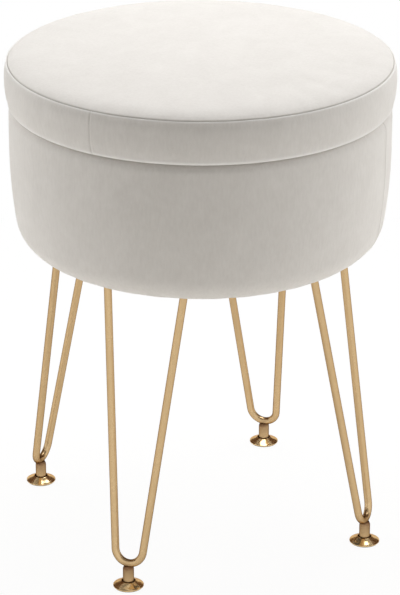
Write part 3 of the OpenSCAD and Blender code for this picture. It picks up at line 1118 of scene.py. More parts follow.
    def _sew(self, piece: bpy.types.Object) -> None:
        """Adds the upright seam, the puckers along the ring seam and their creases, with painted shade in the
        creases and a painted highlight on the lip and the lower roll.

        Args:
            piece: The cushion's object.
        """
        shape = Shape()
        shape.mesh.from_mesh(piece.data)
        along = Vector((math.cos(self.seam_angle), math.sin(self.seam_angle), 0))
        levels = self.levels

        def on_band(co: Vector) -> bool:
            """Tells whether a face lies on the band close to its upright seam."""
            flat = Vector((co.x, co.y, 0))
            beside = flat.cross(along).length
            return (
                flat.dot(along) > 0
                and beside < 12 * MM
                and flat.length > levels.board_r + MM
                and co.z < levels.seam_z - 0.2 * MM
            )

        shape.cut_columns(on_band, self.seam_angle, [beside * MM for beside in self.seam_cuts])
        across = Vector((-along.y, along.x, 0))
        for vert in shape.mesh.verts:
            co = vert.co
            flat = Vector((co.x, co.y, 0))
            out = flat.normalized()
            gap = math.hypot(flat.length - self.seam_r, co.z - levels.seam_z)
            angle = math.atan2(co.y, co.x)
            round_place = Vector((math.cos(angle), math.sin(angle), 0.0))
            if flat.length > levels.board_r + MM or co.z > levels.board_high + MM:
                broad = noise.noise(round_place * 9 + Vector((3, 1, 2)))
                pucker = noise.noise(round_place * 21) * 0.5 + broad
                lift = 0.30 * MM * pucker * hump(gap - 3.5 * MM, 5 * MM)
                co += vert.normal * lift
            on_side = flat.length > levels.board_r + MM and co.z < levels.seam_z - 0.5 * MM
            if on_side and flat.dot(along) > 0:
                beside = flat.dot(across)
                fade = ease(co.z, levels.lid_low + 0.2 * MM, levels.lid_low + 3 * MM)
                groove = -0.42 * hump(beside, 0.6 * MM) - 0.13 * hump(beside - 3.4 * MM, 0.8 * MM)
                ridge = 0.13 * hump(abs(beside) - 1.8 * MM, 1.2 * MM)
                co += out * (groove + ridge) * MM * fade
        shape.store(piece.data)
        piece.data.update()

        def crease_shade(co: Vector) -> float:
            """How much painted shade darkens a point in a crease."""
            flat = Vector((co.x, co.y, 0))
            ring = hump(flat.length - self.seam_r + 0.5 * MM, 0.4 * MM)
            ring *= hump(co.z - levels.seam_z + 0.6 * MM, 0.9 * MM)
            upright = 0.0
            if flat.dot(along) > 0 and co.z < levels.seam_z:
                upright = 0.5 * hump(flat.dot(across), 0.5 * MM)
            return max(ring, upright)

        def lip_and_roll_highlight(co: Vector) -> float:
            """How much painted highlight lightens a point where the velvet bends outwards on the lip and the
            lower roll.
            """
            radius = co.xy.length
            to_lip = math.hypot(radius - self.seam_r - 0.8 * MM, co.z - levels.seam_z + 0.7 * MM)
            roll = hump(co.z - levels.lid_low - 1.2 * MM, 2.6 * MM)
            roll *= ease(radius, levels.board_r, levels.board_r + MM)
            return max(hump(to_lip, 1.1 * MM), roll)

        def puckered(co: Vector) -> float:
            """How much the cloth is drawn into small wrinkles at a point."""
            radius = co.xy.length
            below = co.z - levels.seam_z
            if radius > self.seam_r - 0.3 * MM:
                return hump(below + 2.2 * MM, 3.2 * MM) + 0.5 * hump(co.z - levels.lid_low, 6 * MM)
            return 0.35 * hump(radius - self.seam_r, 5 * MM) if below > -MM else 0.0

        # Painted shade in the creases of the ring seam and the upright seam.
        paint(piece, "crease", crease_shade)
        # Painted highlight on the seam's lip and the lower roll.
        paint(piece, "painted_highlight", lip_and_roll_highlight)
        paint(piece, "pucker", puckered)

    def disc_cloth(self) -> bpy.types.Object:
        """Covers the locating disc with lining cloth, turned up its side.

        Returns:
            The cloth.
        """
        levels = self.levels
        edge = 2.6 * MM
        thick = 0.6 * MM
        skin = joined(
            line((0.0, levels.disc_low), (levels.disc_r - edge, levels.disc_low), 9),
            arc((levels.disc_r - edge, levels.disc_low + edge), edge, -90, 0, 5),
            line((levels.disc_r, levels.disc_low + edge), (levels.disc_r, levels.board_low - 0.1 * MM), 3),
        )
        back = [(max(0.0, r - thick), min(z + thick, levels.board_low - 0.1 * MM)) for r, z in skin]
        shape = Shape()
        shape.turn(joined(skin, back[::-1]), 96)
        piece = shape.piece("disc_cloth", self.looks.lining, Body.LID.value, ["lid_lining"])
        weave_flat(piece)
        return piece


def weave_flat(piece: bpy.types.Object) -> None:
    """Lays the weave's map flat on a piece that faces up or down.

    Args:
        piece: The object.
    """
    layer = piece.data.uv_layers.new(name="weave")
    for loop in piece.data.loops:
        layer.data[loop.index].uv = piece.data.vertices[loop.vertex_index].co.xy


def weave_round(piece: bpy.types.Object, radius: float) -> None:
    """Wraps the weave's map round an upright wall.

    Args:
        piece: The object.
        radius: Radius of the wall.
    """
    layer = piece.data.uv_layers.new(name="weave")
    for face in piece.data.polygons:
        middle = math.atan2(face.center.y, face.center.x)
        for index in face.loop_indices:
            co = piece.data.vertices[piece.data.loops[index].vertex_index].co
            turned = math.atan2(co.y, co.x)
            turned += FULL_TURN * round((middle - turned) / FULL_TURN)
            layer.data[index].uv = (turned * radius, co.z)


@dataclass
class Drum:
    """The storage drum: a padded velvet wall round a board tube, lined inside."""

    levels: Levels
    looks: Finishes
    columns: int = 192
    corner_r: float = 30.5 * MM
    belly_r: float = 455 * MM
    belly_turn: float = 8.5
    rim_r: float = 8 * MM
    mouth_edge_r: float = 4 * MM
    velvet_t: float = 1.2 * MM
    lining_t: float = 0.8 * MM
    hem_w: float = 27.5 * MM
    flap_h: float = 30 * MM
    floor_edge_r: float = 15 * MM
    mat_gap: float = 0.05 * MM
    seam_angle: float = math.radians(4.4)
    seam_cuts: tuple[float, ...] = (-5.5, -3.6, -2.4, -1.4, -0.7, 0, 0.7, 1.4, 2.4, 3.6, 5.5)

    @property
    def corner_c(self) -> tuple[float, float]:
        """Centre of the round lower edge."""
        turn = math.radians(self.belly_turn)
        radius = self.levels.drum_r - self.belly_r * (1 - math.cos(turn)) - self.corner_r * math.cos(turn)
        return radius, self.levels.underside + self.corner_r

    @property
    def mouth_r(self) -> float:
        """Inner radius of the velvet in the mouth."""
        return self.levels.tube_in_r - self.velvet_t

    def wall_outline(self) -> Outline:
        """Closed outline of the padded wall: underside, wall, rim, mouth and the foam's inside."""
        levels = self.levels
        corner_c = self.corner_c
        turn = math.radians(self.belly_turn)
        belly_z = corner_c[1] + (self.belly_r - self.corner_r) * math.sin(turn)
        belly_c = (levels.drum_r - self.belly_r, belly_z)
        rim_c = (levels.drum_r - self.rim_r, levels.rim - self.rim_r)
        mouth_c = (self.mouth_r + self.mouth_edge_r, levels.rim - self.mouth_edge_r)
        hem_r = corner_c[0] - self.hem_w
        flap_z = levels.rim - self.flap_h
        return joined(
            line((hem_r, levels.underside), (corner_c[0], levels.underside), 4),
            arc(corner_c, self.corner_r, -90, -self.belly_turn, 14),
            arc(belly_c, self.belly_r, -self.belly_turn, 0, 12),
            line((levels.drum_r, belly_c[1]), (levels.drum_r, rim_c[1]), 2),
            arc(rim_c, self.rim_r, 0, 90, 6),
            arc(mouth_c, self.mouth_edge_r, 90, 180, 5),
            line((self.mouth_r, mouth_c[1]), (self.mouth_r, flap_z), 4),
            [(levels.tube_in_r, flap_z), (levels.tube_in_r, levels.tube_high)],
            [(levels.tube_r, levels.tube_high), (levels.tube_r, levels.tube_low)],
            [(corner_c[0] + self.floor_edge_r * 0.8, levels.tube_low), (corner_c[0], levels.floor_low)],
            [(hem_r, levels.floor_low), (hem_r, levels.underside)],
        )[:-1]

    def wall(self) -> bpy.types.Object:
        """Builds the padded velvet wall.

        Returns:
            The wall, which stands for cover and padding.
        """
        shape = Shape()
        shape.turn(self.wall_outline(), self.columns, ring=True)
        piece = shape.piece(
            "drum_wall", self.looks.velvet, Body.DRUM.value, ["drum_cover", "drum_foam"]
        )
        Swelling(keep=0.3).run(piece, self._held)
        self._sew(piece)
        subdivide(piece)
        return piece

    def _held(self, co: Vector) -> float:
        """How firmly the cover is held at a point: everywhere but on the outer wall."""
        levels = self.levels
        if co.xy.length < self.corner_c[0] + 6 * MM:
            return 1.0
        if co.xy.length < levels.tube_r + MM and co.z > levels.underside + self.corner_r:
            return 1.0
        top = ease(co.z, levels.rim - 14 * MM, levels.rim - 4 * MM)
        low = 1 - ease(co.z, levels.underside + MM, levels.underside + 14 * MM)
        return max(top, low)

    def _sew(self, piece: bpy.types.Object) -> None:
        """Adds the upright seam, gathers under the base and their creases, with painted shade in the seam's
        crease.

        Args:
            piece: The wall's object.
        """
        shape = Shape()
        shape.mesh.from_mesh(piece.data)
        levels = self.levels
        along = Vector((math.cos(self.seam_angle), math.sin(self.seam_angle), 0))
        across = Vector((-along.y, along.x, 0))

        def on_wall(co: Vector) -> bool:
            """Tells whether a face lies on the outside close to the upright seam."""
            flat = Vector((co.x, co.y, 0))
            return (
                flat.dot(along) > 0
                and abs(flat.dot(across)) < 12 * MM
                and flat.length > self.corner_c[0] + 2 * MM
                and (flat.length > levels.tube_r + 2 * MM or co.z < levels.underside + 4 * MM)
            )

        shape.cut_columns(on_wall, self.seam_angle, [beside * MM for beside in self.seam_cuts])
        for vert in shape.mesh.verts:
            co = vert.co
            flat = Vector((co.x, co.y, 0))
            outside = flat.length > levels.tube_r + 2 * MM or co.z < levels.underside + 4 * MM
            if not outside:
                continue
            if flat.dot(along) > 0:
                beside = flat.dot(across)
                fade = 1 - ease(co.z, levels.rim - 9 * MM, levels.rim - 2 * MM)
                groove = -0.75 * hump(beside, 0.8 * MM)
                ridge = 0.42 * hump(abs(beside) - 2.4 * MM, 2.0 * MM)
                co += vert.normal * (groove + ridge) * MM * fade
            angle = math.atan2(co.y, co.x)
            gather = noise.noise(Vector((math.cos(angle), math.sin(angle), 0.0)) * 16)
            under = 1 - ease(co.z, levels.underside, levels.underside + 12 * MM)
            outer = ease(flat.length, self.corner_c[0] - 2 * MM, self.corner_c[0] + 10 * MM)
            co += vert.normal * 0.5 * MM * gather * under * outer
        shape.store(piece.data)
        piece.data.update()

        def crease_shade(co: Vector) -> float:
            """How much painted shade darkens a point in the seam's crease."""
            flat = Vector((co.x, co.y, 0))
            if flat.dot(along) <= 0 or flat.length < self.corner_c[0]:
                return 0.0
            return 0.8 * hump(flat.dot(across), 0.6 * MM)

        # Painted shade in the crease of the upright seam.
        paint(piece, "crease", crease_shade)

    def lining(self) -> bpy.types.Object:
        """Lines the wall inside, over the turned-in velvet.

        Returns:
            The cloth.
        """
        levels = self.levels
        flap_z = levels.rim - self.flap_h
        step = 3 * MM
        wall_r = levels.tube_in_r - self.lining_t
        lip_r = self.mouth_r - self.lining_t
        inside = joined(
            line((wall_r, levels.floor_top), (wall_r, flap_z - step), 9),
            line((lip_r, flap_z), (lip_r, levels.lining_top - 0.6 * MM), 3),
            [(lip_r + 0.3 * MM, levels.lining_top)],
        )
        outside = [(r + self.lining_t * 0.85, z) for r, z in inside[:-1]]
        shape = Shape()
        shape.turn(joined(inside, outside[::-1]), 160, ring=True)
        for vert in shape.mesh.verts:
            angle = math.atan2(vert.co.y, vert.co.x)
            place = Vector((math.cos(angle), math.sin(angle), 0.0))
            ripple = noise.noise(place * 14 + Vector((0, 0, vert.co.z * 9)))
            middle = hump(vert.co.z - mix(levels.floor_top, flap_z, 0.5), 40 * MM)
            vert.co -= vert.co.xy.to_3d().normalized() * 0.35 * MM * max(0.0, ripple) * middle
        piece = shape.piece("wall_lining", self.looks.lining, Body.DRUM.value, ["drum_lining"])
        weave_round(piece, wall_r)
        return piece

    def mat(self) -> bpy.types.Object:
        """Makes the covered card on the drum's floor.

        Returns:
            The mat.
        """
        levels = self.levels
        edge = 0.7 * MM
        flat_r = levels.mat_r - edge
        low = levels.floor_top + self.mat_gap
        outline = joined(
            line((0.0, low), (flat_r, low), 3),
            arc((flat_r, low + edge), edge, -90, 0, 3),
            arc((flat_r, levels.mat_top - edge), edge, 0, 90, 3),
            line((flat_r, levels.mat_top), (0.0, levels.mat_top), 10),
        )
        shape = Shape()
        shape.turn(outline, 128)
        piece = shape.piece("mat", self.looks.lining, Body.DRUM.value, ["floor_mat"])
        weave_flat(piece)
        return piece

    def dust_cloth(self) -> bpy.types.Object:
        """Stretches the dust cloth under the drum, over the velvet's hem.

        Returns:
            The cloth.
        """
        levels = self.levels
        hem_r = self.corner_c[0] - self.hem_w
        thick = 0.5 * MM
        inner_z = levels.floor_low - 0.6 * MM
        low = levels.cloth_low
        edge_r = levels.cloth_r
        face = joined(
            line((0.0, inner_z), (hem_r - 3 * MM, inner_z), 8),
            [(hem_r - 1 * MM, mix(inner_z, low, 0.5))],
            line((hem_r + 1 * MM, low), (edge_r - 9 * MM, low), 3),
            [(edge_r - 8.4 * MM, low)],
            line((edge_r - 7.8 * MM, low), (edge_r - 0.4 * MM, low), 3),
            [(edge_r, low + 0.25 * MM)],
        )
        back = [(r, z + thick) for r, z in face[:-1]]
        shape = Shape()
        shape.turn(joined(face, back[::-1]), 120)
        for vert in shape.mesh.verts:
            angle = math.atan2(vert.co.y, vert.co.x)
            radius = vert.co.xy.length
            pull = abs(math.sin(6 * angle)) ** 3
            edge = ease(radius, 0.45 * levels.cloth_r, levels.cloth_r)
            fine = noise.noise(Vector((math.cos(angle), math.sin(angle), radius * 8)) * 9)
            loose = ease(radius, 0.02, 0.07) * (1 - ease(radius, hem_r - 14 * MM, hem_r - 2 * MM))
            vert.co.z += (0.25 * pull * edge * loose + 0.2 * max(0.0, fine) * loose) * MM
        piece = shape.piece("dust_cover", self.looks.dust_cloth, Body.DRUM.value, ["dust_cloth"])
        return piece


@dataclass
class Staples:
    """Rings of upholstery staples, pressed almost flush into the cloth."""

    looks: Finishes
    crown: float = 10 * MM
    wire_w: float = 1.1 * MM
    wire_t: float = 0.6 * MM
    leg: float = 4 * MM
    proud: float = 0.35 * MM

    def one(self) -> Shape:
        """A staple with its crown along Y on the plane Z zero, and its legs along +Z."""
        shape = Shape()
        low = -self.proud
        high = self.wire_t - self.proud
        half = self.crown / 2
        bmesh.ops.create_cube(shape.mesh, size=1.0)
        shape.move(
            Matrix.Translation((0, 0, (low + high) / 2))
            @ Matrix.Diagonal((self.wire_w, 2 * half, high - low, 1.0))
        )
        bmesh.ops.subdivide_edges(
            shape.mesh, edges=[e for e in shape.mesh.edges if e.calc_length() > half], cuts=2
        )
        for vert in shape.mesh.verts:
            if abs(vert.co.y) < half - 1e-5:
                vert.co.y = math.copysign(half - self.wire_t, vert.co.y)
        feet = [
            f for f in shape.mesh.faces
            if f.normal.z > 0.5 and abs(f.calc_center_median().y) > half - self.wire_t
        ]
        made = bmesh.ops.extrude_discrete_faces(shape.mesh, faces=feet)["faces"]
        for face in made:
            bmesh.ops.translate(shape.mesh, vec=(0, 0, self.leg), verts=face.verts)
        bmesh.ops.bevel(
            shape.mesh,
            geom=[e for e in shape.mesh.edges if e.calc_face_angle(0.0) > 1.0],
            offset=0.12 * MM, segments=1, affect="EDGES", profile=0.5, material=-1,
        )
        return shape

    def ring(
        self, name: str, body: Body, places: Iterable[Matrix], replaces: Sequence[str]
    ) -> bpy.types.Object:
        """Sets a staple at each place.

        Args:
            name: Name of the piece.
            body: Body that carries it.
            places: Where each staple goes.
            replaces: CAD nodes that the ring stands for.

        Returns:
            The ring as one piece.
        """
        staple = self.one()
        shape = Shape()
        for place in places:
            shape.add(staple, place)
        staple.mesh.free()
        return shape.piece(name, self.looks.zinc, body.value, replaces)


def round_ring(count: int, radius: float, height: float, first: float = 0.0) -> list[Matrix]:
    """Places at equal angles round the axis.

    Args:
        count: Number of places.
        radius: Their distance from the axis.
        height: Their height.
        first: Angle of the first one, in radians.

    Returns:
        A matrix for each place, with its X axis pointing outwards.
    """
    return [
        Matrix.Rotation(first + FULL_TURN * i / count, 4, "Z") @ Matrix.Translation((radius, 0, height))
        for i in range(count)
    ]


@dataclass
class Leg:
    """One hairpin leg with its barrel, levelling foot and pad."""

    side: str
    angle: float
    looks: Finishes
    rod_r: float = 3.5 * MM
    bend_r: float = 13.5 * MM
    lean: float = math.radians(9.43)
    spread: float = math.radians(5.47)
    barrel_r: float = 5 * MM
    foot_r: float = 13.8 * MM
    neck_r: float = 6.3 * MM
    recess_r: float = 5.85 * MM
    neck_h: float = 3.9 * MM
    rim_t: float = 1.1 * MM
    stud_r: float = 3 * MM
    thread_pitch: float = 1 * MM
    around: int = 32

    def __post_init__(self) -> None:
        """Reads the leg's levels from its CAD nodes."""
        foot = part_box(f"{self.side}_foot")
        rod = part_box(f"{self.side}_leg_rod")
        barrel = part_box(f"{self.side}_foot_socket")
        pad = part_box(f"{self.side}_foot_pad")
        self.centre_r = ((foot[0] + foot[1]) / 2).xy.length
        self.foot_low = foot[0].z
        self.stud_top = foot[1].z
        self.bend_z = rod[0].z + self.rod_r
        self.plate_low = rod[1].z
        self.barrel_low = barrel[0].z
        self.barrel_high = barrel[1].z
        self.pad_r = (pad[1] - pad[0]).x / 2
        self.pad_top = pad[1].z

    @property
    def turned(self) -> Matrix:
        """Turn from the leg's own direction, along +X, to its side of the drum."""
        return Matrix.Rotation(self.angle, 4, "Z")

    @property
    def up(self) -> Vector:
        """Direction of the leaning leg, before its turn."""
        return Vector((-math.sin(self.lean), 0, math.cos(self.lean)))

    def _piece(
        self, shape: Shape, name: str, look: Look, node: str | None, body: str = Body.DRUM.value
    ) -> bpy.types.Object:
        """Turns a shape to its side of the drum and makes it a piece.

        Args:
            shape: The shape, made for a leg along +X.
            name: The piece's name without its side.
            look: Its look.
            node: CAD node that it stands for, without its side.
            body: Body that carries it.

        Returns:
            The piece.
        """
        shape.move(self.turned)
        nodes = [f"{self.side}_{node}"] if node else []
        return shape.piece(f"{self.side}_{name}", look, body, nodes)

    def rod(self) -> bpy.types.Object:
        """Bends the hairpin from one rod and welds it on.

        Returns:
            The rod.
        """
        up = self.up
        sideways = Vector((0, 1, 0))
        face = sideways.cross(up)
        base = Vector((self.centre_r, 0, self.bend_z))
        bend_c = base + up * self.bend_r
        shape = Shape()
        half_turn = math.pi / 2 - self.spread
        start = (
            bend_c
            - sideways * self.bend_r * math.cos(self.spread)
            - up * self.bend_r * math.sin(self.spread)
        )
        tangent = sideways * math.sin(self.spread) - up * math.cos(self.spread)
        made = bmesh.ops.create_circle(
            shape.mesh, segments=self.around, radius=self.rod_r,
            matrix=Matrix.Translation(start) @ tangent.to_track_quat("Z", "Y").to_matrix().to_4x4(),
        )
        first = list({e for v in made["verts"] for e in v.link_edges})
        spun = bmesh.ops.spin(
            shape.mesh, geom=made["verts"] + first, cent=bend_c, axis=face,
            angle=2 * half_turn, steps=30,
        )["geom_last"]
        last = [g for g in spun if isinstance(g, bmesh.types.BMEdge)]
        for ring, side in ((first, -1), (last, 1)):
            way = sideways * side * math.sin(self.spread) + up * math.cos(self.spread)
            self._draw_out(shape, ring, way)
        shape.trim(self.plate_low)
        piece = self._piece(shape, "hairpin", self.looks.gold, "leg_rod")
        foot = self.turned @ Vector((self.centre_r, 0, self.barrel_high))
        paint(piece, "heat_tint_and_shade", lambda co: 0.7 * hump((co - foot).length, 4.6 * MM))
        return piece

    def _draw_out(self, shape: Shape, ring: list[bmesh.types.BMEdge], way: Vector) -> None:
        """Extrudes a straight side of the hairpin past the plate.

        Args:
            shape: The shape in the making.
            ring: Edges of the bend's end.
            way: Direction of the straight side.
        """
        length = (self.plate_low - self.bend_z) / way.z
        for share in (0.02, 0.1, 0.2, 0.2, 0.2, 0.2, 0.1):
            made = bmesh.ops.extrude_edge_only(shape.mesh, edges=ring)["geom"]
            verts = [g for g in made if isinstance(g, bmesh.types.BMVert)]
            ring = [g for g in made if isinstance(g, bmesh.types.BMEdge)]
            bmesh.ops.translate(shape.mesh, verts=verts, vec=way * length * share)

    def welds(self) -> bpy.types.Object:
        """Lays a rippled bead round each rod end and round the barrel's top.

        Returns:
            The beads as one piece.
        """
        up = self.up
        shape = Shape()
        for side in (-1, 1):
            way = Vector((0, side * math.sin(self.spread), 0)) + up * math.cos(self.spread)
            start = (
                Vector((self.centre_r, 0, self.bend_z)) + up * self.bend_r * (1 - math.sin(self.spread))
                + Vector((0, side * self.bend_r * math.cos(self.spread), 0))
            )
            top = start + way * (self.plate_low - start.z) / way.z
            bead = self._bead(self.rod_r, 1.5 * MM, 1.2 * MM)
            bead.move(Matrix.Translation(top) @ way.to_track_quat("Z", "Y").to_matrix().to_4x4())
            shape.add(bead, Matrix())
            bead.mesh.free()
        shape.trim(self.plate_low)
        collar = self._bead(3.0 * MM, 1.3 * MM, 1.2 * MM)
        shape.add(collar, Matrix.Translation((self.centre_r, 0, self.bend_z - self.rod_r + 0.2 * MM)))
        collar.mesh.free()
        piece = self._piece(shape, "welds", self.looks.gold, None)
        paint(piece, "heat_tint_and_shade", lambda co: 0.95 if co.z < self.plate_low / 2 else 0.45)
        return piece

    def _bead(self, radius: float, thick: float, high: float) -> Shape:
        """A rippled ring of weld metal about Z.

        Args:
            radius: Inner radius of the ring.
            thick: How far it reaches outwards.
            high: Half its height.

        Returns:
            The ring at the origin.
        """
        bead = Shape()
        angles = [i * FULL_TURN / 10 for i in range(10)]
        bead.turn([(radius + thick * math.cos(a), high * math.sin(a)) for a in angles], 48, ring=True)
        for vert in bead.mesh.verts:
            angle = math.atan2(vert.co.y, vert.co.x)
            ripple = math.sin(14 * angle + 1.5 * noise.noise(vert.co * 900))
            vert.co += vert.co.normalized() * 0.10 * MM * ripple
        return bead

    def barrel(self) -> bpy.types.Object:
        """Turns the threaded barrel with its domed shoulder and open bore.

        Returns:
            The barrel.
        """
        chamfer = 0.4 * MM
        bore_r = self.stud_r + 0.05 * MM
        bore_top = self.stud_top + 0.6 * MM
        shoulder = 3.3 * MM
        outline = joined(
            [(0.0, bore_top), (bore_r, bore_top), (bore_r, self.barrel_low + chamfer)],
            [(bore_r + chamfer, self.barrel_low), (self.barrel_r - chamfer, self.barrel_low)],
            [(self.barrel_r, self.barrel_low + chamfer)],
            arc((self.barrel_r - shoulder, self.barrel_high - shoulder), shoulder, 0, 90, 6),
            [(0.0, self.barrel_high)],
        )
        shape = Shape()
        shape.turn(outline, 48)
        shape.move(Matrix.Translation((self.centre_r, 0, 0)))
        piece = self._piece(shape, "barrel", self.looks.gold, "foot_socket")
        top = self.barrel_high
        # Darker towards the barrel's top: weld heat tint plus painted shade under the hairpin bend, over a
        # faint even painted darkening of the whole barrel.
        paint(piece, "heat_tint_and_shade", lambda co: 0.02 + 0.85 * ease(co.z, top - 5.2 * MM, top - 2.0 * MM))
        return piece

    def foot(self) -> bpy.types.Object:
        """Turns the cone and its threaded stud.

        Returns:
            The levelling foot.
        """
        rim_z = self.foot_low + self.rim_t
        neck_z = rim_z + self.neck_h
        seat_z = self.barrel_low - 0.3 * MM
        under_r = self.foot_r - 1.8 * MM
        under_z = self.foot_low + 0.7 * MM
        core_r = self.stud_r - 0.55 * MM
        flare = [
            (
                mix(self.foot_r, self.neck_r, i / 7) - 0.5 * MM * math.sin(math.pi * i / 7),
                mix(rim_z, neck_z, i / 7),
            )
            for i in range(8)
        ]
        outline = joined(
            [(0.0, under_z), (under_r, under_z), (under_r, self.foot_low)],
            arc((self.foot_r - 0.3 * MM, self.foot_low + 0.3 * MM), 0.3 * MM, -90, 0, 3),
            [(self.foot_r, rim_z - 0.25 * MM)],
            flare[1:],
            [(self.recess_r + 0.1 * MM, neck_z + 0.02 * MM), (self.recess_r, neck_z - 0.15 * MM)],
            [(self.recess_r, seat_z), (core_r, seat_z), (core_r, self.stud_top - 0.5 * MM)],
            [(core_r - 0.5 * MM, self.stud_top), (0.0, self.stud_top)],
        )
        shape = Shape()
        shape.turn(outline, 72)
        thread = self._thread(core_r, seat_z + 0.4 * MM)
        shape.add(thread, Matrix())
        thread.mesh.free()
        shape.move(Matrix.Translation((self.centre_r, 0, 0)))
        piece = self._piece(shape, "levelling_foot", self.looks.brass, "foot", f"{self.side}_glide")
        axis = (self.turned @ Vector((self.centre_r, 0, 0))).xy

        def recess_shade_amount(co: Vector) -> float:
            """How much painted shade darkens the recess round the barrel at a point."""
            inside = (co.xy - axis).length < self.recess_r + 0.15 * MM
            return 0.95 if inside and co.z > self.foot_low + MM else 0.0

        # Painted shade in the recess round the barrel.
        paint(piece, "recess", recess_shade_amount)
        return piece

    def _thread(self, core_r: float, low: float) -> Shape:
        """Winds the ridge of the thread round the stud.

        Args:
            core_r: Radius of the thread's root.
            low: Height at which it starts.

        Returns:
            The ridge about Z.
        """
        ridge = Shape()
        half = 0.42 * self.thread_pitch
        verts = [
            ridge.mesh.verts.new((core_r - 0.15 * MM, 0, low - half)),
            ridge.mesh.verts.new((self.stud_r, 0, low - 0.08 * MM)),
            ridge.mesh.verts.new((self.stud_r, 0, low + 0.08 * MM)),
            ridge.mesh.verts.new((core_r - 0.15 * MM, 0, low + half)),
        ]
        edges = [ridge.mesh.edges.new(pair) for pair in zip(verts, verts[1:] + verts[:1])]
        turns = int((self.stud_top - low - 0.8 * MM) / self.thread_pitch)
        steps = 20
        bmesh.ops.spin(
            ridge.mesh, geom=verts + edges, cent=(0, 0, 0), axis=(0, 0, 1),
            dvec=(0, 0, self.thread_pitch / steps), angle=FULL_TURN * turns, steps=steps * turns,
        )
        ridge.close()
        return ridge

    def pad(self) -> bpy.types.Object:
        """Moulds the non-slip pad, with grooves under it and a stem into the cone.

        Returns:
            The pad.
        """
        high = 0.8 * MM
        stem_r = 1.9 * MM
        plug_r = self.foot_r - 1.9 * MM
        plug_z = self.foot_low + 0.6 * MM
        groove = ((0.0, 0.0), (0.2, 0.25), (0.6, 0.25), (0.8, 0.0))
        grooves = [
            ((radius + out) * MM, up * MM)
            for radius in (3.2, 5.8, 8.4)
            for out, up in groove
        ]
        outline = joined(
            [(0.0, 0.0)],
            grooves,
            arc((self.pad_r - 0.25 * MM, 0.25 * MM), 0.25 * MM, -90, 0, 3),
            arc((self.pad_r - 0.2 * MM, high - 0.2 * MM), 0.2 * MM, 0, 90, 2),
            [(plug_r, high), (plug_r, plug_z), (stem_r, plug_z)],
            [(stem_r, self.pad_top), (0.0, self.pad_top)],
        )
        shape = Shape()
        shape.turn(outline, 56)
        shape.move(Matrix.Translation((self.centre_r, 0, 0)))
        return self._piece(shape, "base_pad", self.looks.pad, "foot_pad", f"{self.side}_pad")

    def build(self) -> None:
        """Builds every piece of the leg."""
        self.rod()
        self.welds()
        self.barrel()
        self.foot()
        self.pad()


